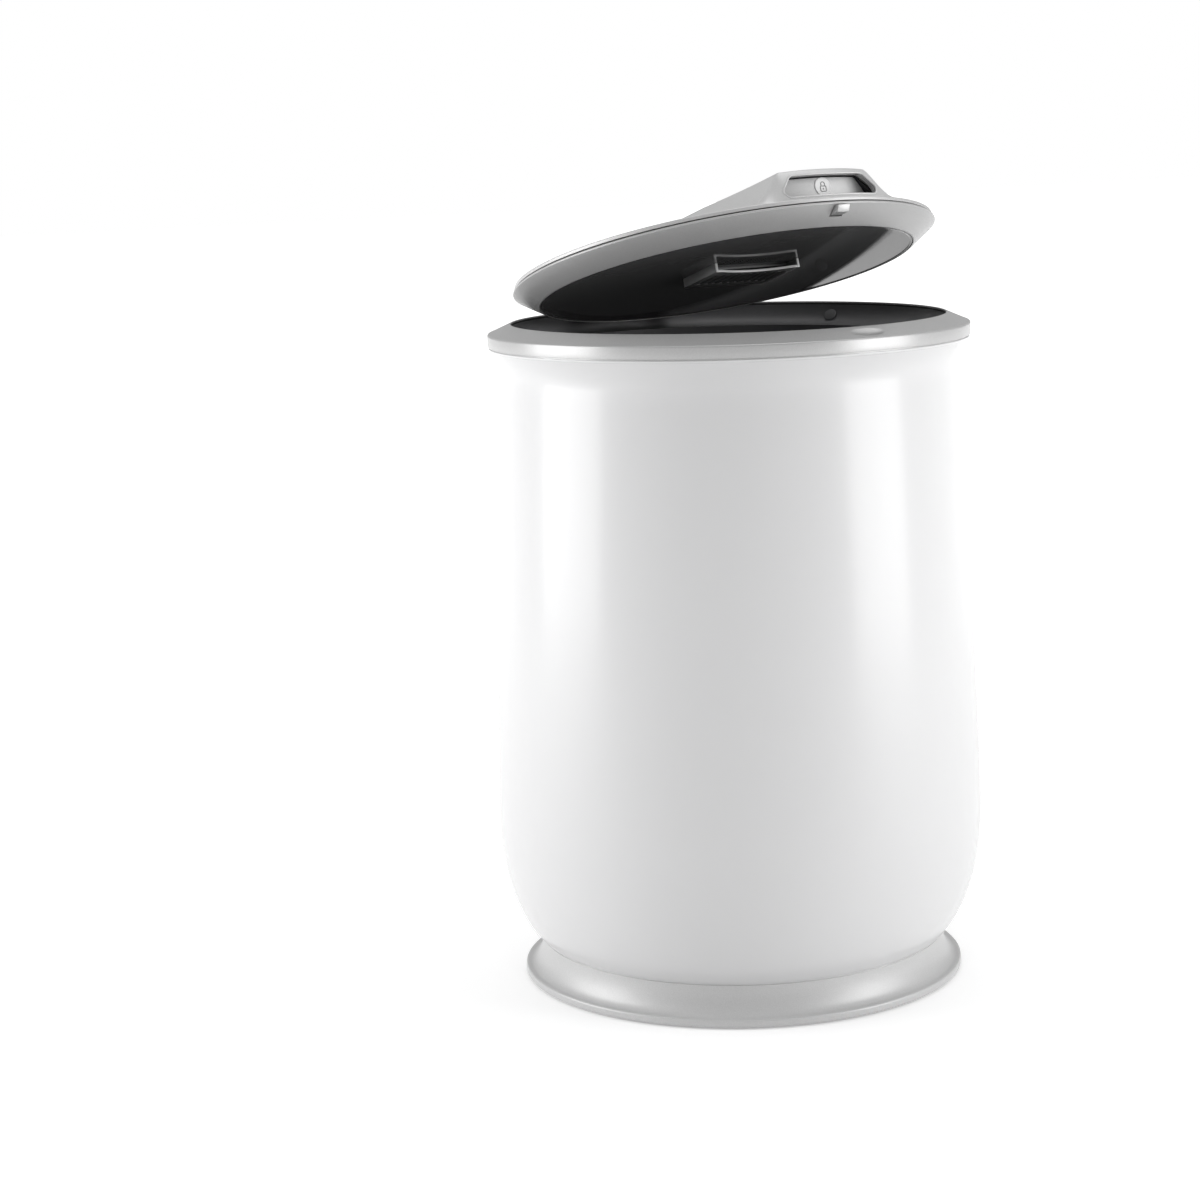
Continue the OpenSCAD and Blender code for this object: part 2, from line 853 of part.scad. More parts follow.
module top_ring() {
    fillet_r = ring_r - ring_fillet;
    color([0.66, 0.67, 0.68])
        difference() {
            union() {
                turned(concat(
                    [[crest_r, crest_z - lip_t], [crest_r, crest_z - 0.4]],
                    [[crest_r + 0.2, crest_z - 0.1], [crest_r + crest_land, crest_z]],
                    [[fillet_r - 0.4, ring_face(fillet_r - 0.4)]],
                    [for (t = [60 : -20 : 0])
                        [
                            fillet_r + ring_fillet * cos(t),
                            ring_face(fillet_r) - ring_fillet + ring_fillet * sin(t)
                        ]],
                    [[ring_r, band_z], [ring_r - 1.4, band_z], [ring_r - 1.4, shell_top]],
                    [[ring_r - 3.2, shell_top], [ring_r - 3.2, ring_face(ring_r - 3.2) - ring_wall - 0.3]],
                    [[skirt_out, ring_face(skirt_out) - ring_wall - 0.3], [skirt_out, skirt_low]],
                    [[skirt_in, skirt_low], [skirt_in, crest_z - lip_t]]
                ));
                intersection() {
                    difference() {
                        rod(ring_r - 3, band_z, pocket_z + 4);
                        rod(skirt_out - 0.5, band_z - 1, pocket_z + 5);
                    }
                    translate([-pocket_half - 2, 0, band_z])
                        cube([2 * pocket_half + 4, ring_r, pocket_z - band_z + 3]);
                }
                round_axis(6, 0)
                    rotate([0, 0, -4])
                        rotate_extrude(angle = 8)
                            polygon([
                                [skirt_out - 0.5, skirt_low + 0.6],
                                [skirt_out + 1.3, neck_z - 4.2],
                                [skirt_out - 0.5, neck_z - 4.2]
                            ]);
            }
            translate([-pocket_half, pocket_y, pocket_z])
                cube([2 * pocket_half, 20, 20]);
            for (x = [-hinge_screw_x, hinge_screw_x])
                translate([x, hinge_screw_y, 0])
                    rod(hinge_screw_r + snug, band_z - 1, pocket_z + 1);
            dimple_ball = (pow(dimple_d / 2, 2) + pow(dimple_t, 2)) / (2 * dimple_t);
            dimple_at = (crest_r + ring_r) / 2;
            rotate([0, 0, dimple_turn])
                translate([0, -dimple_at, ring_face(dimple_at)])
                    rotate([ring_tilt, 0, 0])
                        translate([0, 0, dimple_ball - dimple_t])
                            scale([dimple_w / dimple_d, 1, 1])
                                sphere(r = dimple_ball);
        }
}

module hinge_bracket() {
    color([0.5, 0.51, 0.52])
        difference() {
            union() {
                intersection() {
                    translate([-pocket_half + gap, pocket_y + gap, pocket_z])
                        cube([2 * (pocket_half - gap), 12, bracket_t]);
                    rod(ring_r - 0.4, pocket_z - 1, pocket_z + bracket_t + 1);
                }
                translate([0, hinge_y, hinge_z])
                    rod_x(knuckle_r, -fixed_half, fixed_half);
                along_x([
                    [pocket_y + gap, pocket_z + 1],
                    [ring_r - 4, pocket_z + 1],
                    [ring_r - 4, pocket_z + bracket_t],
                    [hinge_y + 4, hinge_z + 1.8],
                    [hinge_y, hinge_z],
                    [hinge_y + 2.4, hinge_z - 3.6],
                    [pocket_y + gap, crest_z + gap]
                ], -fixed_half, fixed_half);
            }
            translate([0, hinge_y, hinge_z]) {
                rod_x(pin_r + snug, -fixed_half - 1, fixed_half + 1);
                rod_x(pin_r + 1.2 + snug, -fixed_half - 1, -fixed_half + 10);
                rod_x(pin_r + 1.2 + snug, fixed_half - 10, fixed_half + 1);
            }
            for (x = [-hinge_screw_x, hinge_screw_x])
                translate([x, hinge_screw_y, 0])
                    rod(hinge_screw_r + 0.2, pocket_z - 1, pocket_z + bracket_t + 1);
        }
}

module hinge_pin() {
    color([0.75, 0.75, 0.77])
        translate([0, hinge_y, hinge_z]) {
            rod_x(pin_r, -leaf_half - 2.2, leaf_half + 0.31);
            rod_x(pin_r + 1.2, leaf_half + 0.3, leaf_half + 1.8);
        }
}

module pin_clip() {
    color([0.3, 0.3, 0.32])
        translate([0, hinge_y, hinge_z])
            difference() {
                rod_x(pin_r + 1.2, -leaf_half - 1.3, -leaf_half - 0.3);
                rod_x(pin_r + snug, -leaf_half - 2, -leaf_half);
            }
}

module friction_bushes() {
    color([0.8, 0.66, 0.4])
        translate([0, hinge_y, hinge_z])
            for (side = [-1, 1])
                difference() {
                    rod_x(pin_r + 1.2, side * (fixed_half - 5) - 5, side * (fixed_half - 5) + 5);
                    rod_x(pin_r + 0.02, side * fixed_half - 12, side * fixed_half + 12);
                }
}

module hinge_screws() {
    color([0.6, 0.6, 0.62])
        for (x = [-hinge_screw_x, hinge_screw_x])
            translate([x, hinge_screw_y, 0]) {
                rod(hinge_head_r, pocket_z + bracket_t, pocket_z + bracket_t + screw_head_h);
                rod(hinge_screw_r, band_z + 1, pocket_z + bracket_t + 0.01);
            }
}

module hinge_cover() {
    low = pocket_z + bracket_t;
    inner_y = hinge_y + knuckle_r + 0.7;
    wall = 1.6;
    color([0.66, 0.67, 0.68])
        difference() {
            intersection() {
                translate([-pocket_half + gap, inner_y, low])
                    cube([2 * (pocket_half - gap), 12, hinge_z + 5 - low]);
                rod(ring_r - 0.4, low - 1, hinge_z + 6);
            }
            intersection() {
                translate([-pocket_half + gap + wall, inner_y - 1, low - 1])
                    cube([2 * (pocket_half - gap - wall), 12, hinge_z + 6 - wall - low]);
                rod(ring_r - 0.4 - wall, low - 2, hinge_z + 6);
            }
        }
}

module hinge_leaf() {
    knuckle_from = fixed_half + 0.6;
    color([0.5, 0.51, 0.52])
        turned_open()
            difference() {
                union() {
                    intersection() {
                        translate([-leaf_half, leaf_front, seam_z + ring_top_w])
                            cube([2 * leaf_half, leaf_back - leaf_front, leaf_top - ring_top_w]);
                        rod(crest_r - 2 * gap, seam_z - 1, seam_z + leaf_top + 1);
                    }
                    for (side = [-1, 1])
                        scale([side, 1, 1]) {
                            along_x([
                                [leaf_back - 3, hinge_z - knuckle_r],
                                [hinge_y, hinge_z - knuckle_r],
                                [hinge_y, hinge_z + knuckle_r],
                                [hinge_y - 3, hinge_z + knuckle_r - 1.2],
                                [leaf_back - 3, seam_z + leaf_top]
                            ], knuckle_from, leaf_half);
                            translate([0, hinge_y, hinge_z])
                                rod_x(knuckle_r, knuckle_from, leaf_half);
                        }
                }
                translate([0, hinge_y, hinge_z])
                    rod_x(pin_r + pin_fit, -leaf_half - 1, leaf_half + 1);
                for (p = leaf_bolts)
                    translate([p[0], p[1], 0]) {
                        rod(screw_r + 0.2, seam_z - 2, seam_z + leaf_top + 1);
                        rod(screw_head_r + 0.2, seam_z + leaf_top - screw_head_h - 0.1,
                            seam_z + leaf_top + 1);
                    }
            }
}

module leaf_screws() {
    color([0.6, 0.6, 0.62])
        turned_open()
            for (p = leaf_bolts)
                translate([p[0], p[1], seam_z + leaf_top]) {
                    rod(screw_head_r, -screw_head_h - 0.1, -0.1);
                    rod(screw_r, -10, -screw_head_h);
                }
}

// The cover's wall as one closed skin: outer rings, rim, inner rings and two poles
module cover_skin() {
    n = len(around);
    rings = concat(
        [for (r = cover_out) [for (a = around) [r * sin(a), -r * cos(a), cover_w(a, r, 0)]]],
        [[for (a = around) [lid_r * sin(a), -lid_r * cos(a), edge_h - 1]]],
        [[for (a = around) [lid_r * sin(a), -lid_r * cos(a), cover_low_w]]],
        [[for (a = around) [cover_rim * sin(a), -cover_rim * cos(a), cover_low_w]]],
        [for (i = [len(cover_in) - 1 : -1 : 0])
            [for (a = around)
                let (r = cover_in[i])
                [r * sin(a), -r * cos(a), cover_w(a, r, cover_t)]]]
    );
    m = len(rings);
    points = concat(
        [for (ring = rings) each ring],
        [[0, 0, cover_w(0, 0, 0)], [0, 0, cover_w(0, 0, cover_t)]]
    );
    top_pole = m * n;
    under_pole = m * n + 1;
    faces = concat(
        [for (j = [0 : n - 1]) [top_pole, (j + 1) % n, j]],
        [for (i = [0 : m - 2])
            for (j = [0 : n - 1])
                [i * n + j, (i + 1) * n + (j + 1) % n, (i + 1) * n + j]],
        [for (i = [0 : m - 2])
            for (j = [0 : n - 1])
                [i * n + j, i * n + (j + 1) % n, (i + 1) * n + (j + 1) % n]],
        [for (j = [0 : n - 1])
            [under_pole, (m - 1) * n + j, (m - 1) * n + (j + 1) % n]]
    );
    polyhedron(points, faces);
}

// Places children at the fragrance holder's screws
module at_holder_screws() {
    for (x = [-holder_screw_x, holder_screw_x])
        translate([x, -holder_front + holder_len - 7, 0])
            children();
}

module at_lugs() {
    for (a = lug_angles)
        rotate([0, 0, a])
            translate([0, -lug_place, 0])
                children();
}

module lid_cover() {
    color([0.78, 0.79, 0.79])
        in_lid()
            difference() {
                union() {
                    cover_skin();
                    at_lugs()
                        rod(3.4, ring_top_w, 2.6);
                    hood_frame()
                        at_board_screws()
                            rod(2.2, -board_drop, -2.4);
                }
                at_lugs()
                    rod(lug_screw_r + snug, ring_top_w - 1, 2.2);
                window_prism(0, guide_front_v, lid_r + 5, 2.5);
                translate([-leaf_half - 0.6, leaf_front - 0.6, ring_top_w])
                    cube([2 * leaf_half + 1.2, 30, 20]);
                hood_frame() {
                    translate([0, 0, panel_up - panel_t])
                        plate(panel_w + 0.4, panel_l + 0.4, 10, panel_corner);
                    translate([0, 0, -6])
                        plate(well_w, well_l, 10, 3);
                    at_board_screws()
                        rod(board_screw_r + snug, -board_drop - 1, -3);
                }
            }
}

module lid_ring() {
    wall = 2.4;
    color([0.66, 0.67, 0.68])
        in_lid()
            difference() {
                union() {
                    turned([
                        [lid_r, ring_top_w],
                        [lid_r + 1, ring_top_w - 0.3],
                        [shoulder_r, -shoulder_d + 0.3],
                        [shoulder_r, -shoulder_d],
                        [shoulder_r - 0.6, -shoulder_d - 0.6],
                        [bevel_r + 0.6, -bevel_d + 0.4],
                        [bevel_r, -bevel_d],
                        [bevel_r - 0.8, -bevel_d],
                        [bevel_r - 0.8, -bevel_d + 3],
                        [shoulder_r - wall - 1.1, ring_top_w - 1.6],
                        [cover_rim + 0.2, ring_top_w - 1.6],
                        [cover_rim + 0.2, ring_top_w]
                    ]);
                    at_lugs()
                        translate([-6, -8, ring_top_w - 2.4])
                            cube([12, 13.5, 2.4]);
                    intersection() {
                        translate([-leaf_half - 1, leaf_front, -bevel_d])
                            cube([2 * leaf_half + 2, 12, bevel_d + ring_top_w]);
                        turned([
                            [bevel_r - 0.5, -bevel_d + 2],
                            [shoulder_r - 1, -shoulder_d + 0.2],
                            [shoulder_r - 1, ring_top_w - 1],
                            [lid_r - 0.4, ring_top_w],
                            [bevel_r - 0.5, ring_top_w]
                        ]);
                    }
                }
                at_lugs()
                    rod(lug_screw_r + 0.2, ring_top_w - 3, ring_top_w + 1);
                for (p = leaf_bolts)
                    translate([p[0], p[1], 0])
                        rod(screw_r + snug, -6, 1);
                translate([-bolt_w / 2 - gap, -lid_r - 10, -bolt_d - bolt_h - gap])
                    cube([bolt_w + 2 * gap, 24, bolt_h + 2 * gap]);
            }
}

module lid_screws() {
    color([0.6, 0.6, 0.62])
        in_lid()
            at_lugs() {
                rod(2.4, ring_top_w - 3.8, ring_top_w - 2.4);
                rod(lug_screw_r, ring_top_w - 2.41, 2);
            }
}

module lid_liner() {
    rim = bevel_r - 0.8 - gap;
    lower = bevel_d - 0.2;
    color([0.2, 0.2, 0.21])
        in_lid()
            difference() {
                turned([
                    [0, -dish_d],
                    [dish_r, -dish_d],
                    [rim - 0.9, -lower],
                    [rim - 0.3, -lower],
                    [rim, -lower + 0.3],
                    [rim, -lower + liner_t],
                    [dish_r, -dish_d + liner_t],
                    [0, -dish_d + liner_t]
                ]);
                at_holder_screws()
                    rod(screw_r + 0.2, -dish_d - 1, -dish_d + liner_t + 1);
            }
}

module liner_gasket() {
    rim = bevel_r - 0.8;
    liner_top = -bevel_d + 0.2 + liner_t + 2 * snug;
    color([0.1, 0.1, 0.1])
        in_lid()
            difference() {
                rod(rim - snug, liner_top, liner_top + 1);
                rod(rim - 0.6, liner_top - 1, liner_top + 2);
            }
}

module lid_insulation() {
    color([0.9, 0.9, 0.86])
        in_lid()
            difference() {
                rod(leg_v - 15, -dish_d + liner_t, 0);
                at_holder_screws()
                    rod(screw_head_r + 1, -dish_d, -dish_d + liner_t + 3);
            }
}

module holder_screws() {
    color([0.6, 0.6, 0.62])
        in_lid()
            at_holder_screws() {
                rod(screw_head_r, -dish_d + liner_t, -dish_d + liner_t + screw_head_h);
                rod(screw_r, -dish_d - holder_t + 0.1, -dish_d + liner_t + 0.01);
            }
}

// Holder outline in u and y, with its slot's edge drawn in towards the middle
function holder_outline(inset) =
    let (half = holder_half - inset)
    let (front = -holder_front)
    let (back = -holder_front + holder_len - inset)
    let (land = 4)
    let (reach = holder_half - land)
    let (bow = (pow(reach, 2) + pow(holder_sag, 2)) / (2 * holder_sag))
    let (turn = asin(reach / bow))
    concat(
        [[half, front], [half, back - 4]],
        [for (t = [30 : 30 : 60]) [half - 4 + 4 * cos(t), back - 4 + 4 * sin(t)]],
        [[half - 4, back], [-half + 4, back]],
        [for (t = [120 : 30 : 150]) [-half + 4 + 4 * cos(t), back - 4 + 4 * sin(t)]],
        [[-half, back - 4], [-half, front], [-reach, front]],
        [for (i = [1 : 9])
            let (t = turn * (i / 5 - 1))
            [bow * sin(t), front + holder_sag - bow + bow * cos(t)]],
        [[reach, front]]
    );

module fragrance_holder() {
    low_w = -dish_d - holder_h;
    pitch = 2 * (holder_half - 4) / slats;
    color([0.16, 0.16, 0.17])
        in_lid()
            difference() {
                translate([0, 0, low_w])
                    linear_extrude(height = holder_h)
                        polygon(holder_outline(0));
                translate([-holder_half + holder_t, -holder_front - 5, low_w + holder_t])
                    cube([2 * (holder_half - holder_t), holder_len + 5 - 3, holder_h - 2 * holder_t]);
                translate([-holder_half + holder_t, -holder_front - 5, low_w + holder_t])
                    cube([2 * (holder_half - holder_t), 5 + 12, holder_h]);
                for (i = [0 : slats - 1])
                    translate([
                        -holder_half + 4 + (i + 0.5) * pitch - pitch / 4,
                        -holder_front + 9.5,
                        low_w - 1
                    ])
                        cube([pitch / 2, holder_len - 19, holder_t + 2]);
                at_holder_screws()
                    rod(screw_r + snug, -dish_d - holder_t - 1, -dish_d + 1);
            }
}

module slot_trim() {
    low_w = -dish_d - holder_h;
    trim = 1.6;
    color([0.72, 0.73, 0.74])
        in_lid()
            difference() {
                translate([0, -1, low_w])
                    linear_extrude(height = holder_h)
                        polygon(holder_outline(0));
                translate([0, 0, low_w - 1])
                    linear_extrude(height = holder_h + 2)
                        polygon(holder_outline(-0.01));
                translate([-holder_half + trim, -holder_front - 9, low_w + trim])
                    cube([2 * (holder_half - trim), holder_len, holder_h]);
                translate([-holder_half - 1, -holder_front + 7, low_w - 1])
                    cube([2 * holder_half + 2, holder_len, holder_h + 2]);
            }
}

module latch_guide() {
    color([0.3, 0.3, 0.31])
        in_lid()
            difference() {
                union() {
                    intersection() {
                        difference() {
                            window_prism(guide_t, guide_front_v, lid_r, 3);
                            window_prism(slide - 0.3, guide_front_v - 1, lid_r + 1, 2.5);
                        }
                        rod_cone(wall_foot - cover_t - 3, hood_front - cover_t - 2.8, 2, 22);
                        translate([-lid_r, -lid_r, 0])
                            cube([2 * lid_r, lid_r, window_top + guide_roof]);
                    }
                    for (side = [-1, 1])
                        scale([side, 1, 1])
                            translate([29, -guide_front_v - 0.5, window_z - guide_t])
                                cube([2, guide_front_v + 0.5 - guide_back, rail_h]);
                    translate([-31, -guide_back - 2, window_z - guide_t])
                        cube([62, 2, rail_h]);
                    for (u = [-spring_u, spring_u])
                        translate([u, -guide_back - 2, spring_w])
                            rotate([90, 0, 0])
                                cylinder(r = spring_r - spring_wire - 0.4, h = 6);
                }
                translate([-bolt_w / 2 - slide, -leg_v - leg_l - slide, -5])
                    cube([bolt_w + 2 * slide, leg_l + 2 * slide + latch_travel, 12]);
            }
}

module release_paddle() {
    color([0.72, 0.73, 0.74])
        in_lid()
            difference() {
                union() {
                    intersection() {
                        difference() {
                            rod(paddle_r, 3, 20);
                            rod(paddle_r - paddle_t, 2, 21);
                        }
                        window_prism(-0.5, paddle_r - 35, paddle_r + 2, 2);
                    }
                    translate([-bolt_w / 2, -leg_v - leg_l, bolt_tail_w + bolt_tail_t])
                        cube([bolt_w, leg_l, 10]);
                }
                translate([0, -paddle_r + 0.6, badge_w])
                    rotate([90, 0, 0])
                        cylinder(r = badge_r + snug, h = 6);
                for (u = [-paddle_screw_u, paddle_screw_u])
                    translate([u, -leg_v - leg_l / 2, 0])
                        rod(paddle_screw_r + snug, bolt_tail_w, bolt_tail_w + bolt_tail_t + 6);
            }
}

module lock_badge() {
    color([0.9, 0.9, 0.9])
        in_lid()
            difference() {
                translate([0, -paddle_r + 0.6, badge_w])
                    rotate([90, 0, 0])
                        cylinder(r = badge_r, h = 1);
                translate([0, -paddle_r - 0.4, badge_w])
                    rotate([90, 0, 0])
                        icon_shape(0.6, 0.05);
            }
}

// A plain padlock: a square body under a bow, h thick
module icon_shape(h, grow) {
    translate([0, -1.2, -h])
        linear_extrude(height = 2 * h)
            polygon([
                [-2.2 - grow, -1.7 - grow],
                [2.2 + grow, -1.7 - grow],
                [2.2 + grow, 1.7 + grow],
                [-2.2 - grow, 1.7 + grow]
            ]);
    translate([0, 0.5, -h])
        difference() {
            cylinder(r = 1.8 + grow, h = 2 * h);
            translate([0, 0, -1])
                cylinder(r = 1.1 - grow, h = 2 * h + 2);
            translate([-3, -3 - 0.01, -1])
                cube([6, 3, 2 * h + 2]);
        }
}

module lock_icon() {
    color([0.55, 0.56, 0.57])
        in_lid()
            intersection() {
                translate([0, -paddle_r - 0.4, badge_w])
                    rotate([90, 0, 0])
                        icon_shape(0.6, 0);
                translate([-5, -paddle_r - 0.5, badge_w - 5])
                    cube([10, 0.7, 10]);
            }
}

module latch_bolt() {
    nose_low = -bolt_d - bolt_h;
    back_v = bevel_r + 3;
    color([0.7, 0.71, 0.72])
        in_lid()
            difference() {
                across([
                    [leg_v - 6, bolt_tail_w],
                    [back_v, bolt_tail_w],
                    [back_v, nose_low],
                    [bolt_reach - (bolt_h - bolt_edge) * bolt_lean, nose_low],
                    [bolt_reach, -bolt_d - bolt_edge],
                    [bolt_reach, -bolt_d],
                    [back_v + 3, -bolt_d],
                    [back_v + 3, bolt_tail_w + bolt_tail_t],
                    [leg_v - 6, bolt_tail_w + bolt_tail_t]
                ], -bolt_w / 2, bolt_w / 2);
                for (u = [-paddle_screw_u, paddle_screw_u])
                    translate([u, -leg_v - leg_l / 2, 0])
                        rod(paddle_screw_r + 0.1, bolt_tail_w - 1, bolt_tail_w + bolt_tail_t + 1);
            }
}

module paddle_screws() {
    color([0.6, 0.6, 0.62])
        in_lid()
            for (u = [-paddle_screw_u, paddle_screw_u])
                translate([u, -leg_v - leg_l / 2, 0]) {
                    rod(1.6, bolt_tail_w - 1, bolt_tail_w);
                    rod(paddle_screw_r, bolt_tail_w - 0.01, bolt_tail_w + bolt_tail_t + 5);
                }
}

// One coil spring along v as a single tube: rings of six points along a helix
module coil(from_v, to_v) {
    per_turn = 12;
    steps = spring_turns * per_turn;
    sides = 6;
    wire = spring_wire / 2;
    run = (to_v - from_v - spring_wire) / steps;
    points = [
        for (i = [0 : steps])
            let (t = i * 360 / per_turn)
            for (k = [0 : sides - 1])
                let (s = k * 360 / sides)
                let (r = spring_r + wire * cos(s))
                [r * cos(t), -(from_v + wire + i * run + wire * sin(s)), r * sin(t)]
    ];
    last = steps * sides;
    faces = concat(
        [[for (k = [0 : sides - 1]) k]],
        [[for (k = [sides - 1 : -1 : 0]) last + k]],
        [for (i = [0 : steps - 1])
            for (k = [0 : sides - 1])
                [i * sides + k, (i + 1) * sides + k, (i + 1) * sides + (k + 1) % sides]],
        [for (i = [0 : steps - 1])
            for (k = [0 : sides - 1])
                [i * sides + k, (i + 1) * sides + (k + 1) % sides, i * sides + (k + 1) % sides]]
    );
    polyhedron(points, faces);
}

module latch_springs() {
    far = sqrt(pow(paddle_r - paddle_t, 2) - pow(spring_u + spring_r + spring_wire, 2));
    color([0.7, 0.7, 0.72])
        in_lid()
            for (u = [-spring_u, spring_u])
                translate([u, 0, spring_w])
                    coil(guide_back + 2, far);
}

module control_panel() {
    low = panel_up - panel_t;
    color([0.2, 0.21, 0.22])
        on_hood()
            difference() {
                translate([0, 0, low])
                    plate(panel_w, panel_l, panel_t, panel_corner);
                for (k = [-1 : 1])
                    translate([k * key_pitch, key_row, low - 1])
                        plate(key_w + 0.5, key_l + 0.5, panel_t + 2, 3);
                translate([0, lens_row, low - 1])
                    plate(lens_w, lens_l, panel_t + 2, 1.5);
            }
}

module display_lens() {
    low = panel_up - panel_t;
    color([0.05, 0.05, 0.06])
        on_hood()
            translate([0, lens_row, low])
                plate(lens_w - 2 * snug, lens_l - 2 * snug, panel_t + 0.1, 1.5);
}

module display_module() {
    color([0.15, 0.15, 0.16])
        on_hood()
            translate([-12, lens_row - 4.5, -board_drop])
                cube([24, 9, board_drop + panel_up - panel_t - 0.4]);
}

module panel_board() {
    color([0.1, 0.35, 0.2])
        on_hood()
            difference() {
                union() {
                    translate([-24, -19, -board_drop - 1.6])
                        cube([48, 38, 1.6]);
                    for (k = [-1 : 1])
                        translate([k * key_pitch - 3, key_row - 3, -board_drop - 0.01])
                            cube([6, 6, 1.6]);
                }
                at_board_screws()
                    rod(board_screw_r + 0.2, -board_drop - 3, -board_drop + 1);
            }
}

module panel_screws() {
    color([0.6, 0.6, 0.62])
        on_hood()
            at_board_screws() {
                rod(1.9, -board_drop - 2.8, -board_drop - 1.6);
                rod(board_screw_r, -board_drop - 1.61, -board_drop + 3.5);
            }
}

// One key: a cap through the panel on a wider flange that keeps it in
module key(place) {
    low = panel_up - panel_t;
    stem = -board_drop + 1.6 + key_travel + 0.15;
    color([0.82, 0.83, 0.83])
        on_hood()
            translate([place * key_pitch, key_row, 0]) {
                translate([0, 0, low - 1.3])
                    plate(key_w, key_l, panel_t + 2, 2.8);
                translate([0, 0, low - 1.3])
                    plate(key_w + 1.6, key_l + 1.6, 1.1, 3);
                rod(1.5, stem, low - 1.2);
            }
}

module power_key() {
    key(-1);
}

module timer_key() {
    key(0);
}

module mode_key() {
    key(1);
}

foot_pads();
base_plinth();
base_plate();
base_screws();
shell_screws();
cord_gland();
power_board();
board_posts();
board_screws();
pot_support();
heater_plate();
heater_band();
insulation_sleeve();
thermostat();
thermal_fuse();
inner_pot();
pot_gasket();
seat_sensor();
outer_shell();
top_ring();
hinge_bracket();
hinge_pin();
pin_clip();
friction_bushes();
hinge_screws();
hinge_cover();
hinge_leaf();
leaf_screws();
lid_cover();
lid_ring();
lid_liner();
liner_gasket();
lid_insulation();
lid_screws();
fragrance_holder();
holder_screws();
slot_trim();
latch_guide();
latch_springs();
release_paddle();
lock_badge();
lock_icon();
latch_bolt();
paddle_screws();
control_panel();
display_lens();
display_module();
panel_board();
panel_screws();
power_key();
timer_key();
mode_key();
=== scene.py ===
import json
from math import asin, atan, cos, degrees, dist, pi, radians, sin, sqrt, tan
from types import SimpleNamespace
import bpy
import bmesh
import numpy as np
from mathutils import Matrix, Vector


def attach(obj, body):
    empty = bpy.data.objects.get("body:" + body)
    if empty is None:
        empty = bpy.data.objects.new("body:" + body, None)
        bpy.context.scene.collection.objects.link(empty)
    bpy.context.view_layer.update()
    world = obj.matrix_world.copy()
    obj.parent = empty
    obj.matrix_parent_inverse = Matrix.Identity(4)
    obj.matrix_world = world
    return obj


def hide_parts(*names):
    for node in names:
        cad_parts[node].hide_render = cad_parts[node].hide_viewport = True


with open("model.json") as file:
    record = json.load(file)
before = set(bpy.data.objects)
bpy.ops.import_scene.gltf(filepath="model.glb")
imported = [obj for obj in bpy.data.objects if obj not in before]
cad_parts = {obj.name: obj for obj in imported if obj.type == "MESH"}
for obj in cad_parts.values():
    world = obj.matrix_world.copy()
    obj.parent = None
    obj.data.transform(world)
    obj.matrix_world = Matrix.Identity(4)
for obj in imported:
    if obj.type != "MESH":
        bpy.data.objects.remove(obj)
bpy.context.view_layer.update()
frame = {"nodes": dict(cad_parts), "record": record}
mm = 0.001
print("frame loaded,", len(frame["nodes"]), "nodes")

# Node helpers
def feed(tree, node, values):
    for key, value in values.items():
        if isinstance(value, bpy.types.NodeSocket):
            tree.links.new(value, node.inputs[key])
        else:
            node.inputs[key].default_value = value


def addNode(tree, kind, values=None, **settings):
    node = tree.nodes.new(kind)
    for key, value in settings.items():
        setattr(node, key, value)
    feed(tree, node, values or {})
    return node


def cleared(owner):
    owner.use_nodes = True
    owner.node_tree.nodes.clear()
    return owner.node_tree


def ramp(tree, value, low, high, toLow=0.0, toHigh=1.0, **settings):
    return addNode(tree, "ShaderNodeMapRange", {
        "Value": value, "From Min": low, "From Max": high, "To Min": toLow, "To Max": toHigh,
    }, **settings).outputs["Result"]


def mathNode(tree, operation, a, b, clamp=False):
    return addNode(tree, "ShaderNodeMath", {0: a, 1: b},
                   operation=operation, use_clamp=clamp).outputs[0]


def product(tree, a, b):
    return addNode(tree, "ShaderNodeVectorMath", {0: a, 1: b}, operation="MULTIPLY").outputs[0]


def noise(tree, place, scale, detail, **more):
    return addNode(tree, "ShaderNodeTexNoise", {
        "Vector": place, "Scale": scale, "Detail": detail, **more}).outputs


def mixed(tree, share, under, over):
    return addNode(tree, "ShaderNodeMix", {0: share, 6: under, 7: over},
                   data_type="RGBA").outputs[2]


def lifted(colour, gain, add=0.0):
    return tuple(min(1, c * gain + add) for c in colour) + (1,)


# View and light
viewFrom = {
    "distance": 1.8576, "height": 0.5749, "azimuth": -33.0,
    "pitch": 9.741, "yaw": -2.807, "roll": -1.864, "lens": 83.42, "sensor": 36.0,
}
studio = {
    "worldLevel": 0.535,
    "lamps": [   # name, degrees right of the camera, distance, height, size, power
        ("rightSoftbox", 72, 1.8, 0.72, (1.1, 1.5), 18),
        ("leftSoftbox", -82, 1.8, 0.75, (1.3, 1.5), 21),
        ("ceilingPanel", 150, 0.5, 2.2, (1.6, 1.6), 12),
    ],
    "aim": (0, 0, 0.27),
    "floorGrey": 0.8, "floorSize": 30.0, "floorGlow": (0.35, 1.0), "glowReach": (0.5, 2.6),
}


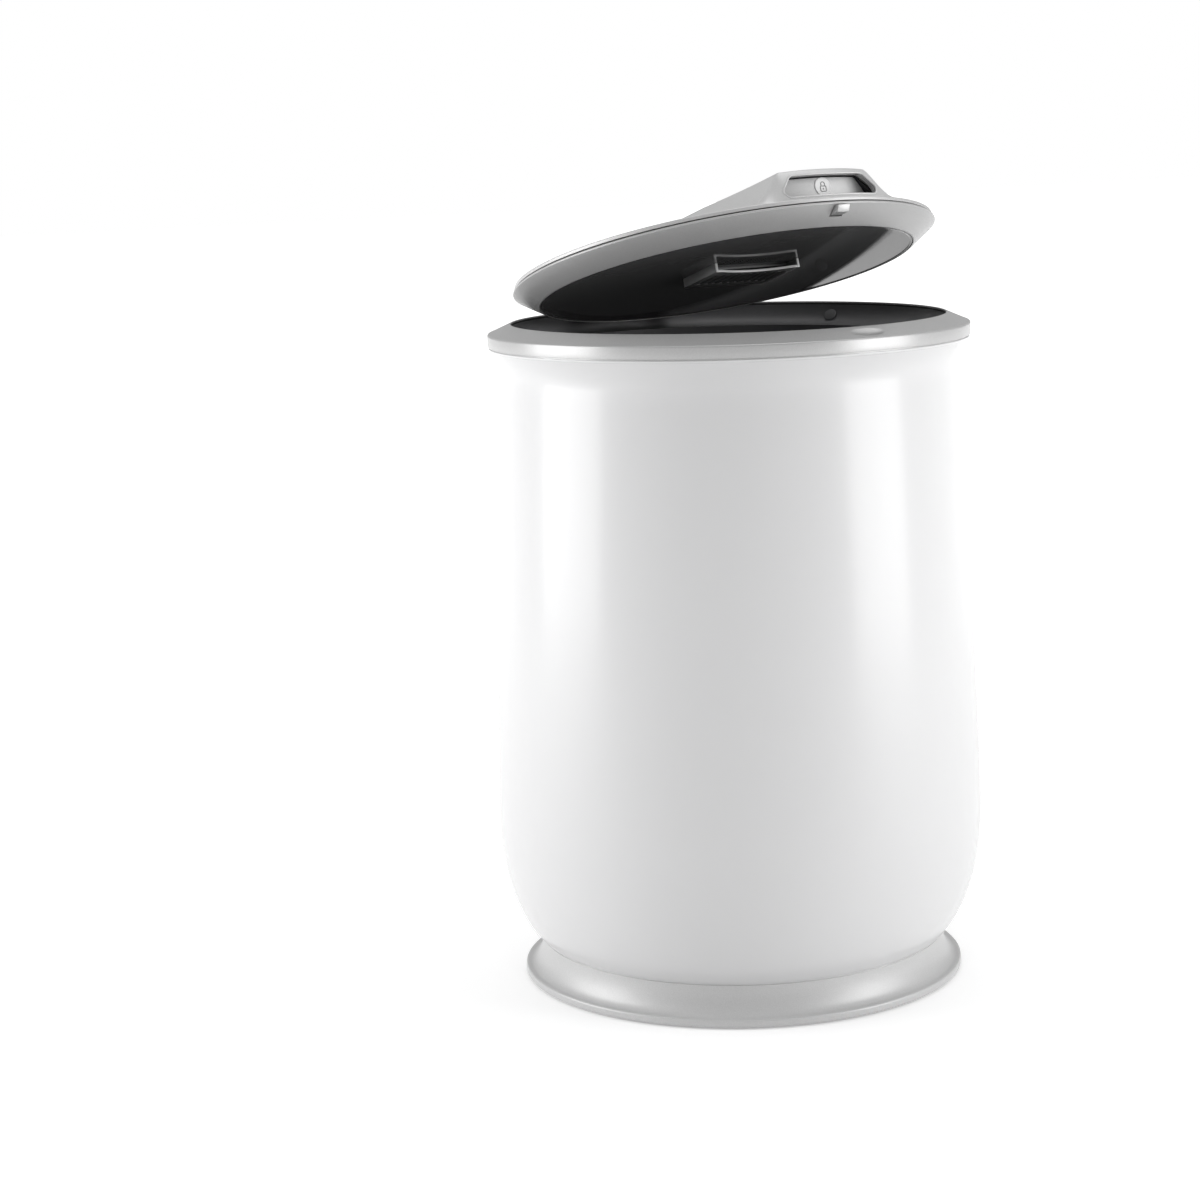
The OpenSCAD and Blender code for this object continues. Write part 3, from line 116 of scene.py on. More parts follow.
def placeCamera():
    pitch, yaw, roll = (radians(viewFrom[k]) for k in ("pitch", "yaw", "roll"))
    ahead = Vector((sin(yaw) * cos(pitch), cos(yaw) * cos(pitch), -sin(pitch)))
    side = Vector((cos(yaw), -sin(yaw), 0))
    up = side.cross(ahead)
    side, up = (cos(roll) * side + sin(roll) * up,
                cos(roll) * up - sin(roll) * side)
    place = Matrix((side, up, -ahead)).transposed().to_4x4()
    place.translation = Vector((0, -viewFrom["distance"], viewFrom["height"]))
    data = bpy.data.cameras.new("photoView")
    data.lens, data.sensor_width = viewFrom["lens"], viewFrom["sensor"]
    data.clip_end = 100
    camera = bpy.data.objects.new("photoView", data)
    camera.matrix_world = Matrix.Rotation(radians(viewFrom["azimuth"]), 4, "Z") @ place
    bpy.context.scene.collection.objects.link(camera)
    bpy.context.scene.camera = camera


def backgroundRays(tree):
    path = addNode(tree, "ShaderNodeLightPath").outputs
    total = path["Is Camera Ray"]
    for kind in ("Is Glossy Ray", "Is Transmission Ray"):
        total = mathNode(tree, "ADD", total, path[kind], clamp=True)
    return total


def lightWorld():
    scene = bpy.context.scene
    scene.view_settings.view_transform = "Standard"
    scene.world = bpy.data.worlds.new("studioWorld")
    tree = cleared(scene.world)
    plain = addNode(tree, "ShaderNodeBackground", {"Strength": studio["worldLevel"]})
    seen = addNode(tree, "ShaderNodeBackground", {"Color": (1, 1, 1, 1)})
    path = addNode(tree, "ShaderNodeLightPath")
    mix = addNode(tree, "ShaderNodeMixShader", {
        0: path.outputs["Is Camera Ray"], 1: plain.outputs[0], 2: seen.outputs[0]})
    addNode(tree, "ShaderNodeOutputWorld", {0: mix.outputs[0]})


def placeLamps():
    for name, turn, away, height, size, power in studio["lamps"]:
        turn = radians(turn + viewFrom["azimuth"])
        place = (away * sin(turn), -away * cos(turn), height)
        data = bpy.data.lights.new(name, "AREA")
        data.shape, data.size, data.size_y = "RECTANGLE", size[0], size[1]
        data.energy = power
        lamp = bpy.data.objects.new(name, data)
        facing = (Vector(studio["aim"]) - Vector(place)).to_track_quat("-Z", "Y")
        lamp.matrix_world = Matrix.Translation(place) @ facing.to_matrix().to_4x4()
        bpy.context.scene.collection.objects.link(lamp)


def layFloor():
    half = studio["floorSize"] / 2
    corners = [(-half, -half, 0), (half, -half, 0), (half, half, 0), (-half, half, 0)]
    mesh = bpy.data.meshes.new("paleFloor")
    mesh.from_pydata(corners, [], [(0, 1, 2, 3)])
    floor = bpy.data.objects.new("paleFloor", mesh)
    bpy.context.scene.collection.objects.link(floor)
    material = bpy.data.materials.new("paleFloorPaint")
    tree = cleared(material)
    matte = addNode(tree, "ShaderNodeBsdfDiffuse", {"Color": (studio["floorGrey"],) * 3 + (1,)})
    place = addNode(tree, "ShaderNodeTexCoord").outputs["Object"]
    away = addNode(tree, "ShaderNodeVectorMath", {0: place}, operation="LENGTH")
    fade = ramp(tree, away.outputs["Value"], *studio["glowReach"], *studio["floorGlow"],
                interpolation_type="SMOOTHSTEP")
    glow = addNode(tree, "ShaderNodeEmission", {"Strength": fade})
    both = addNode(tree, "ShaderNodeAddShader", {0: matte.outputs[0], 1: glow.outputs[0]})
    mix = addNode(tree, "ShaderNodeMixShader", {
        0: backgroundRays(tree), 1: matte.outputs[0], 2: both.outputs[0]})
    addNode(tree, "ShaderNodeOutputMaterial", {0: mix.outputs[0]})
    mesh.materials.append(material)


placeCamera()
lightWorld()
placeLamps()
layFloor()
print("camera, lamps and floor placed")


# Shader groups shared by the finishes
def newGroup(name, inputs, outputs):
    tree = bpy.data.node_groups.new(name, "ShaderNodeTree")
    for label, kind, value in inputs:
        socket = tree.interface.new_socket(label, in_out="INPUT", socket_type="NodeSocket" + kind)
        socket.default_value = value
    for label in outputs:
        tree.interface.new_socket(label, in_out="OUTPUT", socket_type="NodeSocketFloat")
    return tree, tree.nodes.new("NodeGroupInput").outputs, tree.nodes.new("NodeGroupOutput")


def makeMouldGrain():
    tree, given, out = newGroup("mouldGrain", [
        ("Place", "Vector", (0, 0, 0)), ("Grain size", "Float", 0.0009),
        ("Mottle", "Float", 0.04), ("Smudge", "Float", 0.3),
    ], ["Height", "Shade", "Smudges"])
    place, finer = given["Place"], mathNode(tree, "DIVIDE", 1.0, given["Grain size"])
    pebble = noise(tree, place, finer, 3.0, Roughness=0.55)[0]
    cells = addNode(tree, "ShaderNodeTexVoronoi", {"Vector": place, "Scale": finer})
    cloud = mathNode(tree, "SUBTRACT", noise(tree, place, 9.0, 4.0)[0], 0.5)
    wipe = ramp(tree, noise(tree, place, 23.0, 5.0, Distortion=1.2)[0], 0.45, 0.75)
    feed(tree, out, {
        "Height": mathNode(tree, "ADD", mathNode(tree, "MULTIPLY", pebble, 0.6),
                           mathNode(tree, "MULTIPLY", cells.outputs["Distance"], 0.4)),
        "Shade": mathNode(tree, "ADD", 1.0, mathNode(tree, "MULTIPLY", cloud, given["Mottle"])),
        "Smudges": mathNode(tree, "MULTIPLY", wipe, given["Smudge"]),
    })
    return tree


# Edge wear and painted edge highlight: convex edges, found by pointiness and broken up by noise,
# get a lighter base colour. It stands for rubbed wear and also paints the highlight that a rounded
# edge catches
def makeEdgeWearAndHighlight():
    tree, given, out = newGroup("edgeWearAndPaintedHighlight", [("Amount", "Float", 0.2)], ["Mask"])
    sharp = addNode(tree, "ShaderNodeNewGeometry").outputs["Pointiness"]
    place = addNode(tree, "ShaderNodeTexCoord").outputs["Object"]
    broken = ramp(tree, noise(tree, place, 60.0, 3.0)[0], 0.35, 0.6)
    mask = mathNode(tree, "MULTIPLY", ramp(tree, sharp, 0.51, 0.58), broken)
    feed(tree, out, {"Mask": mathNode(tree, "MULTIPLY", mask, given["Amount"], clamp=True)})
    return tree


def makeBrushedLines():
    tree, given, out = newGroup("brushedLines", [
        ("Place", "Vector", (0, 0, 0)), ("Stretch", "Vector", (40, 1500, 1500)),
    ], ["Height", "Streaks"])
    lines = noise(tree, product(tree, given["Place"], given["Stretch"]), 1.0, 4.0)[0]
    feed(tree, out, {"Height": lines, "Streaks": ramp(tree, lines, 0.3, 0.7)})
    return tree


def makeFeltFibres():
    tree, given, out = newGroup("feltFibres", [
        ("Place", "Vector", (0, 0, 0)), ("Fibre", "Float", 900.0),
    ], ["Height", "Shade"])
    lay = noise(tree, given["Place"], 60.0, 2.0)["Color"]
    bent = addNode(tree, "ShaderNodeVectorMath", {0: given["Place"], 1: lay, 2: (0.02,) * 3},
                   operation="MULTIPLY_ADD")
    hair = noise(tree, bent.outputs[0], given["Fibre"], 6.0, Roughness=0.75)[0]
    feed(tree, out, {"Height": hair, "Shade": ramp(tree, hair, 0.3, 0.7, 0.8, 1.12)})
    return tree


groups = {
    "grain": makeMouldGrain(), "wearAndHighlight": makeEdgeWearAndHighlight(),
    "brushed": makeBrushedLines(), "felt": makeFeltFibres(),
}


def useGroup(tree, key, values):
    return addNode(tree, "ShaderNodeGroup", values, node_tree=groups[key]).outputs


def startMaterial(name):
    material = bpy.data.materials.new(name)
    tree = cleared(material)
    shader = addNode(tree, "ShaderNodeBsdfPrincipled")
    addNode(tree, "ShaderNodeOutputMaterial", {0: shader.outputs[0]})
    return material, tree, shader, addNode(tree, "ShaderNodeTexCoord").outputs["Object"]


def setBump(tree, shader, height, depth):
    bump = addNode(tree, "ShaderNodeBump", {"Strength": depth, "Distance": mm, "Height": height})
    tree.links.new(bump.outputs[0], shader.inputs["Normal"])


def mouldedPlastic(name, colour, rough, grain=0.0009, depth=0.08, mottle=0.04, smudge=0.05,
                   wearAndHighlight=0.15, coat=0.0, coatRough=0.08, specular=0.5):
    material, tree, shader, place = startMaterial(name)
    fine = useGroup(tree, "grain", {
        "Place": place, "Grain size": grain, "Mottle": mottle, "Smudge": smudge})
    # lighter colour on the edges: wear together with a painted edge highlight
    wornAndHighlitEdges = useGroup(tree, "wearAndHighlight", {"Amount": wearAndHighlight})["Mask"]
    body = product(tree, colour, fine["Shade"])
    feed(tree, shader, {
        "Base Color": mixed(tree, wornAndHighlitEdges, body, lifted(colour, 1.35, 0.03)),
        "Roughness": mathNode(tree, "ADD", fine["Smudges"], rough, clamp=True),
        "Coat Weight": coat, "Coat Roughness": coatRough, "Specular IOR Level": specular,
    })
    setBump(tree, shader, fine["Height"], depth)
    return material


def silverPaint(name, colour, rough, metallic):
    material, tree, shader, place = startMaterial(name)
    fine = useGroup(tree, "grain", {
        "Place": place, "Grain size": 0.0012, "Mottle": 0.03, "Smudge": 0.05})
    flake = addNode(tree, "ShaderNodeTexVoronoi", {"Vector": place, "Scale": 3200.0})
    glint = ramp(tree, flake.outputs["Color"], 0.0, 1.0, 0.93, 1.07)
    # lighter colour on the edges: wear together with a painted edge highlight
    wornAndHighlitEdges = useGroup(tree, "wearAndHighlight", {"Amount": 0.12})["Mask"]
    body = product(tree, colour, mathNode(tree, "MULTIPLY", fine["Shade"], glint))
    feed(tree, shader, {
        "Base Color": mixed(tree, wornAndHighlitEdges, body, lifted(colour, 1.25)),
        "Roughness": mathNode(tree, "ADD", fine["Smudges"], rough, clamp=True),
        "Metallic": metallic, "Coat Weight": 0.15, "Coat Roughness": 0.2,
    })
    setBump(tree, shader, fine["Height"], 0.03)
    return material


def brushedMetal(name, colour, rough):
    material, tree, shader, place = startMaterial(name)
    lines = useGroup(tree, "brushed", {"Place": place, "Stretch": (40, 1500, 1500)})
    # lighter colour on the edges: wear together with a painted edge highlight
    wornAndHighlitEdges = useGroup(tree, "wearAndHighlight", {"Amount": 0.4})["Mask"]
    body = product(tree, colour, ramp(tree, lines["Streaks"], 0, 1, 0.9, 1.05))
    feed(tree, shader, {
        "Base Color": mixed(tree, wornAndHighlitEdges, body, lifted(colour, 1.2)),
        "Roughness": ramp(tree, lines["Streaks"], 0, 1, rough, rough + 0.12), "Metallic": 1.0,
    })
    setBump(tree, shader, lines["Height"], 0.05)
    return material


def feltedWool(name, colour):
    material, tree, shader, place = startMaterial(name)
    felt = useGroup(tree, "felt", {"Place": place})
    feed(tree, shader, {
        "Base Color": product(tree, colour, felt["Shade"]), "Roughness": 0.95, "Sheen Weight": 0.3})
    setBump(tree, shader, felt["Height"], 0.6)
    return material


def boardMask(name, mask, track):
    material, tree, shader, place = startMaterial(name)
    bricks = addNode(tree, "ShaderNodeTexBrick", {
        "Vector": place, "Scale": 160.0, "Color1": mask + (1,), "Color2": lifted(mask, 0.85),
        "Mortar": track + (1,), "Mortar Size": 0.035})
    pads = addNode(tree, "ShaderNodeTexVoronoi", {"Vector": place, "Scale": 210.0})
    dots = ramp(tree, pads.outputs["Distance"], 0.16, 0.12)
    feed(tree, shader, {
        "Base Color": mixed(tree, dots, bricks.outputs["Color"], (0.55, 0.55, 0.5, 1)),
        "Roughness": 0.35})
    setBump(tree, shader, bricks.outputs["Fac"], 0.1)
    return material


finishes = {
    "whiteGloss": mouldedPlastic("whiteGloss", (0.80, 0.80, 0.805), 0.26, grain=0.004, depth=0.015,
                                 mottle=0.008, smudge=0.012, wearAndHighlight=0.0, coat=0.35, coatRough=0.16),
    "plinthGrey": silverPaint("plinthGrey", (0.60,) * 3, 0.42, 0.2),
    "ringGrey": silverPaint("ringGrey", (0.50,) * 3, 0.32, 0.35),
    "coverGrey": silverPaint("coverGrey", (0.58,) * 3, 0.42, 0.3),
    "bevelGrey": silverPaint("bevelGrey", (0.46,) * 3, 0.36, 0.25),
    "paddleGrey": silverPaint("paddleGrey", (0.66,) * 3, 0.42, 0.1),
    "boltGrey": silverPaint("boltGrey", (0.50,) * 3, 0.36, 0.4),
    "badgeWhite": mouldedPlastic("badgeWhite", (0.97,) * 3, 0.4, depth=0.03, wearAndHighlight=0.0),
    "markGrey": mouldedPlastic("markGrey", (0.30,) * 3, 0.45, depth=0.03, wearAndHighlight=0.0),
    "potBlack": mouldedPlastic("potBlack", (0.12, 0.12, 0.124), 0.36, grain=0.0006, depth=0.1,
                               mottle=0.25, smudge=0.12, wearAndHighlight=0.05),
    "dishBlack": mouldedPlastic("dishBlack", (0.105, 0.105, 0.106), 0.05, grain=0.003, depth=0.006,
                                mottle=0.1, smudge=0.02, wearAndHighlight=0.05, specular=0.07),
    "holderBlack": mouldedPlastic("holderBlack", (0.14, 0.14, 0.142), 0.42, depth=0.05, wearAndHighlight=0.3),
    "darkPlastic": mouldedPlastic("darkPlastic", (0.05, 0.05, 0.053), 0.45, depth=0.08),
    # pale grey that paints the highlight on the slot's rounded edge
    "slotHighlightPaint": mouldedPlastic("slotHighlightPaint", (0.72,) * 3, 0.22, depth=0.02, coat=0.3),
    "rubberBlack": mouldedPlastic("rubberBlack", (0.03, 0.03, 0.031), 0.75, grain=0.0006,
                                  depth=0.2),
    "panelGloss": mouldedPlastic("panelGloss", (0.03, 0.031, 0.034), 0.14, grain=0.003,
                                 depth=0.012, coat=0.6),
    "lensSmoke": mouldedPlastic("lensSmoke", (0.008, 0.009, 0.010), 0.05, grain=0.003, depth=0.006,
                                wearAndHighlight=0.0, coat=1.0, coatRough=0.03),
    "segmentDark": mouldedPlastic("segmentDark", (0.05, 0.055, 0.06), 0.2, grain=0.003,
                                  depth=0.01, wearAndHighlight=0.0),
    "keyGrey": mouldedPlastic("keyGrey", (0.60,) * 3, 0.38, depth=0.06),
    "supportResin": mouldedPlastic("supportResin", (0.42, 0.37, 0.28), 0.55, depth=0.1),
    "heaterFilm": mouldedPlastic("heaterFilm", (0.42, 0.17, 0.04), 0.25, grain=0.003,
                                 depth=0.05, coat=0.3),
    "steel": brushedMetal("steel", (0.58, 0.58, 0.59), 0.26),
    "bronze": brushedMetal("bronze", (0.62, 0.44, 0.2), 0.32),
    "aluminium": brushedMetal("aluminium", (0.74, 0.74, 0.75), 0.34),
    "insulationFelt": feltedWool("insulationFelt", (0.66, 0.64, 0.58)),
    "boardGreen": boardMask("boardGreen", (0.02, 0.14, 0.05), (0.05, 0.24, 0.10)),
}
print("finishes made:", len(finishes))


# Mesh helpers shared by the pieces; sizes are in millimetres until a mesh is made
hinge = {"y": 146, "z": 450, "open": 16, "seamZ": 444.5}
lidOpen = (Matrix.Translation((0, hinge["y"] * mm, hinge["z"] * mm))
           @ Matrix.Rotation(radians(-hinge["open"]), 4, "X")
           @ Matrix.Translation((0, -hinge["y"] * mm, (hinge["seamZ"] - hinge["z"]) * mm)))
bodyOf = {node: body for body, nodes in frame["record"]["behaviour"]["bodies"].items()
          for node in nodes}


def rounded(corners, closed=True, steps=5):
    result = []
    for i, corner in enumerate(corners):
        here = Vector(corner[:2])
        radius = corner[2] if len(corner) > 2 else 0
        if not radius or (not closed and i in (0, len(corners) - 1)):
            result.append(tuple(here))
            continue
        back = Vector(corners[i - 1][:2]) - here
        ahead = Vector(corners[(i + 1) % len(corners)][:2]) - here
        turn = back.angle(ahead)
        reach = min(radius / tan(turn / 2), 0.48 * back.length, 0.48 * ahead.length)
        inward = (back.normalized() + ahead.normalized()).normalized()
        middle = here + inward * reach / cos(turn / 2)
        first = here + back.normalized() * reach - middle
        last = here + ahead.normalized() * reach - middle
        spread = first.angle(last)
        for k in range(steps + 1):
            a, b = sin((1 - k / steps) * spread), sin(k / steps * spread)
            result.append(tuple(middle + (a * first + b * last) / sin(spread)))
    return result


def meshOf(points, faces=(), edges=()):
    mesh = bpy.data.meshes.new("shape")
    scaled = [tuple(c * mm for c in p) for p in points]
    mesh.from_pydata(scaled, list(edges), [tuple(f) for f in faces])
    return mesh


def outward(mesh, merge=1e-6):
    work = bmesh.new()
    work.from_mesh(mesh)
    bmesh.ops.remove_doubles(work, verts=work.verts, dist=merge)
    bmesh.ops.recalc_face_normals(work, faces=work.faces)
    work.to_mesh(mesh)
    work.free()
    return mesh


def applied(mesh, kind, inputs=(), **values):
    holder = bpy.data.objects.new("worked", mesh)
    bpy.context.scene.collection.objects.link(holder)
    modifier = holder.modifiers.new(kind, kind)
    for key, value in values.items():
        setattr(modifier, key, value)
    for key, value in inputs:
        modifier[key] = value
    bpy.context.view_layer.update()
    shown = holder.evaluated_get(bpy.context.evaluated_depsgraph_get())
    result = bpy.data.meshes.new_from_object(shown)
    bpy.data.objects.remove(holder)
    return result


def carved(mesh, cutter, operation="DIFFERENCE"):
    tool = bpy.data.objects.new("cutter", cutter)
    bpy.context.scene.collection.objects.link(tool)
    result = applied(mesh, "BOOLEAN", object=tool, operation=operation, solver="EXACT")
    bpy.data.objects.remove(tool)
    return result


def bevelled(mesh, width, segments=3, angle=35):
    return applied(mesh, "BEVEL", width=width * mm, segments=segments, limit_method="ANGLE",
                   angle_limit=radians(angle), miter_outer="MITER_ARC")


def prism(outline, low, high, plane="xy"):
    count = len(outline)
    points = [(p[0], p[1], h) for h in (low, high) for p in outline]
    if plane == "uw":   # outline in u and w, pushed along v
        points = [(x, -h, z) for x, z, h in points]
    faces = [range(count), range(count, 2 * count)]
    faces += [(i, (i + 1) % count, count + (i + 1) % count, count + i) for i in range(count)]
    return outward(meshOf(points, faces))


def block(half, v, w):
    return prism([(-half, v[0]), (half, v[0]), (half, v[1]), (-half, v[1])], *w)


def roundedBox(width, length, corner):
    w, h = width / 2, length / 2
    return rounded([(w, h, corner), (-w, h, corner), (-w, -h, corner), (w, -h, corner)])


def joined(*meshes):
    work = bmesh.new()
    for mesh in meshes:
        work.from_mesh(mesh)
    result = bpy.data.meshes.new("shape")
    work.to_mesh(result)
    work.free()
    return result


def solidCopy(node):
    work = bmesh.new()
    work.from_mesh(frame["nodes"][node].data)
    bmesh.ops.remove_doubles(work, verts=work.verts, dist=2e-6)
    bmesh.ops.dissolve_limit(work, angle_limit=radians(1), verts=work.verts, edges=work.edges)
    mesh = bpy.data.meshes.new("shape")
    work.to_mesh(mesh)
    work.free()
    return mesh


def addPiece(name, mesh, finish, body, nodes=(), sharp=35):
    mesh.name = name
    mesh.materials.clear()
    mesh.materials.append(finishes[finish])
    mesh.shade_smooth()
    mesh.set_sharp_from_angle(angle=radians(sharp))
    piece = bpy.data.objects.new(name, mesh)
    bpy.context.scene.collection.objects.link(piece)
    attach(piece, body)
    if nodes:
        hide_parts(*nodes)


def addSoftened(name, node, finish, width, segments=3):
    mesh = bevelled(solidCopy(node), width, segments)
    addPiece(name, mesh, finish, bodyOf[node], [node])


def inLid(mesh):
    mesh.transform(lidOpen)
    return mesh


# Geometry Nodes trees: one turns a profile, one sweeps a bead, one sets screws, one sets slats
def startTree(name, inputs):
    tree = bpy.data.node_groups.new(name, "GeometryNodeTree")

    def socket(label, kind, way="INPUT"):
        return tree.interface.new_socket(
            label, in_out=way, socket_type="NodeSocket" + kind).identifier

    socket("Geometry", "Geometry")
    keys = {label: socket(label, kind) for label, kind in inputs}
    socket("Geometry", "Geometry", "OUTPUT")
    return tree, keys, addNode(tree, "NodeGroupInput").outputs


def endTree(tree, geometry):
    real = addNode(tree, "GeometryNodeRealizeInstances", {0: geometry})
    addNode(tree, "NodeGroupOutput", {0: real.outputs[0]})


def circle(tree, steps, radius):
    return addNode(tree, "GeometryNodeCurvePrimitiveCircle", {
        "Resolution": steps, "Radius": radius}).outputs[0]


def sweep(tree, path, outline, caps=False):
    return addNode(tree, "GeometryNodeCurveToMesh", {
        "Curve": path, "Profile Curve": outline, "Fill Caps": caps}).outputs[0]


def makeTurnTree():
    tree, keys, given = startTree("turnedProfile", [("Steps", "Int"), ("Path radius", "Float")])
    outline = addNode(tree, "GeometryNodeMeshToCurve", {0: given["Geometry"]})
    path = circle(tree, given["Steps"], given["Path radius"])
    merged = addNode(tree, "GeometryNodeMergeByDistance", {
        "Geometry": sweep(tree, path, outline.outputs[0]), "Distance": 1e-6})
    endTree(tree, merged.outputs[0])
    return tree, keys


def makeBeadTree():
    tree, keys, given = startTree("sweptBead", [("Bead radius", "Float"), ("Sides", "Int")])
    line = addNode(tree, "GeometryNodeMeshToCurve", {0: given["Geometry"]})
    ring = circle(tree, given["Sides"], given["Bead radius"])
    endTree(tree, sweep(tree, line.outputs[0], ring, True))
    return tree, keys


def makeScrewTree():
    tree, keys, given = startTree("crossScrews", [
        ("Head radius", "Float"), ("Head height", "Float"), ("Shank radius", "Float"),
        ("Shank length", "Float"), ("Slot width", "Float"), ("Seed", "Int")])
    wide, high, slot = given["Head radius"], given["Head height"], given["Slot width"]
    length = given["Shank length"]

    def times(value, share):
        return mathNode(tree, "MULTIPLY", value, share)

    def rod(sides, radius, depth):
        return addNode(tree, "GeometryNodeMeshCylinder", {
            "Vertices": sides, "Radius": radius, "Depth": depth}).outputs[0]

    def placed(geometry, up):
        shift = addNode(tree, "ShaderNodeCombineXYZ", {"Z": up})
        return addNode(tree, "GeometryNodeTransform", {
            "Geometry": geometry, "Translation": shift.outputs[0]}).outputs[0]

    dome = addNode(tree, "GeometryNodeMeshCone", {
        "Vertices": 32, "Radius Top": times(wide, 0.62), "Radius Bottom": wide,
        "Depth": times(high, 0.5)})
    parts = (placed(rod(32, wide, high), times(high, 0.25)),
             placed(dome.outputs[0], times(high, 0.75)),
             placed(rod(20, given["Shank radius"], length), times(length, -0.5)))
    body = addNode(tree, "GeometryNodeMeshBoolean", operation="UNION", solver="EXACT")
    for part in parts:
        tree.links.new(part, body.inputs["Mesh 2"])
    cut = addNode(tree, "GeometryNodeMeshBoolean", {"Mesh 1": body.outputs[0]},
                  operation="DIFFERENCE", solver="EXACT")
    long = times(wide, 1.1)
    for x, y in ((long, slot), (slot, long)):
        box = addNode(tree, "ShaderNodeCombineXYZ", {"X": x, "Y": y, "Z": high})
        cube = addNode(tree, "GeometryNodeMeshCube", {"Size": box.outputs[0]})
        tree.links.new(placed(cube.outputs[0], times(high, 1.25)), cut.inputs["Mesh 2"])
    turn = addNode(tree, "FunctionNodeRandomValue", {3: 1.57, "Seed": given["Seed"]},
                   data_type="FLOAT")
    spin = addNode(tree, "ShaderNodeCombineXYZ", {"Z": turn.outputs[1]})
    screwSet = addNode(tree, "GeometryNodeInstanceOnPoints", {
        "Points": given["Geometry"], "Instance": cut.outputs[0], "Rotation": spin.outputs[0]})
    endTree(tree, screwSet.outputs[0])
    return tree, keys


def makeSlatTree():
    tree, keys, given = startTree("slatRow", [
        ("Count", "Int"), ("Pitch", "Float"), ("Slat radius", "Float"), ("Slat length", "Float")])
    step = addNode(tree, "ShaderNodeCombineXYZ", {"X": given["Pitch"]})
    row = addNode(tree, "GeometryNodeMeshLine", {
        "Count": given["Count"], "Offset": step.outputs[0]})
    end = addNode(tree, "ShaderNodeCombineXYZ", {"Y": given["Slat length"]})
    run = addNode(tree, "GeometryNodeCurvePrimitiveLine", {0: (0, 0, 0), 1: end.outputs[0]})
    slat = sweep(tree, run.outputs[0], circle(tree, 12, given["Slat radius"]), True)
    slatRow = addNode(tree, "GeometryNodeInstanceOnPoints", {
        "Points": row.outputs[0], "Instance": slat})
    endTree(tree, slatRow.outputs[0])
    return tree, keys


trees = {
    "turn": makeTurnTree(), "bead": makeBeadTree(),
    "screw": makeScrewTree(), "slat": makeSlatTree(),
}


def grown(seed, key, values):
    tree, keys = trees[key]
    return applied(seed, "NODES", [(keys[k], v) for k, v in values.items()], node_group=tree)


def chain(count, closed):
    return [(i, (i + 1) % count) for i in range(count if closed else count - 1)]


def turned(profile, steps=256, closed=True):
    widest = max(p[0] for p in profile) / 2
    points = [(p[0] - widest, -p[1], 0) for p in profile]
    seed = meshOf(points, edges=chain(len(points), closed))
    return outward(grown(seed, "turn", {"Steps": steps, "Path radius": widest * mm}), 2e-6)


def bead(points, radius, closed=True, sides=10):
    seed = meshOf(points, edges=chain(len(points), closed))
    return outward(grown(seed, "bead", {"Bead radius": radius * mm, "Sides": sides}))


print("geometry trees made")

# Body shell
bodyShell = {
    "bellyR": 164.2, "bellyZ": 112, "bellyDepth": 46.3, "bellyDrop": 95, "neckR": 152.9,
    "neckZ": 409, "flareH": 20.6, "flareW": 7.1, "wall": 2.5, "waistZ": 26, "flangeR": 120,
    "flangeT": 2.5, "lipRound": 0.8, "grooveR": 149.3, "taperPower": 1.3, "steps": 30,
}


def makeBodyShell():
    s = SimpleNamespace(**bodyShell)
    waistTurn = asin((s.bellyZ - s.waistZ) / s.bellyDrop)
    flareTurn = 2 * atan(s.flareW / s.flareH)
    flareR = s.flareH / sin(flareTurn)
    lipR, top = s.neckR + s.flareW, s.neckZ + s.flareH

    def belly(turn, inset):
        return (s.bellyR - s.bellyDepth + (s.bellyDepth - inset) * cos(turn),
                s.bellyZ - (s.bellyDrop - inset) * sin(turn))

    def taper(share, inset):
        return (s.bellyR - inset - (s.bellyR - s.neckR) * share ** s.taperPower,
                s.bellyZ + (s.neckZ - s.bellyZ) * share)

    def flare(turn):
        return (s.neckR + flareR * (1 - cos(turn)), s.neckZ + flareR * sin(turn))

    waistR = belly(waistTurn, 0)[0]
    outer = [(waistR - 0.5, s.waistZ), (waistR + 0.1, s.waistZ + 0.6)]
    outer += [belly(waistTurn * (1 - i / s.steps), 0) for i in range(1, s.steps + 1)]
    outer += [taper(i / s.steps, 0) for i in range(1, s.steps + 1)]
    outer += [flare(flareTurn * i / 10) for i in range(1, 10)]
    lip = rounded([(lipR - 0.8, top - 1.6), (lipR, top, s.lipRound), (lipR - s.wall, top, 0.5),
                   (lipR - s.wall - 0.9, top - 2)], closed=False)
    inner = [(s.neckR - s.wall, s.neckZ), (s.grooveR, s.neckZ - 1), (s.grooveR, s.neckZ - 3.5),
             (s.neckR - s.wall, s.neckZ - 5)]
    inner += [taper(i / 24, s.wall) for i in range(23, -1, -1)]
    inner += [belly(waistTurn * i / 20, s.wall) for i in range(1, 19)]
    flange = s.waistZ + s.flangeT
    inner += [(waistR - 2, flange), (s.flangeR, flange), (s.flangeR, s.waistZ)]
    addPiece("bodyShell", turned(outer + lip + inner), "whiteGloss", "body", ["outer_shell"])


# Plinth under the body, with its cove and rounded rim
plinth = {
    "waistR": 137.6, "rimR": 149.6, "waistZ": 26, "rimTop": 6.4, "footZ": 1.5, "rimRound": 1.6,
    "wall": 2.5, "flangeR": 120, "flangeT": 2.5, "coveIn": 3.1,
    "glandY": 143, "glandZ": 14.5, "glandR": 4.95, "flangeHole": 7.2, "bossWall": 0.8,
}


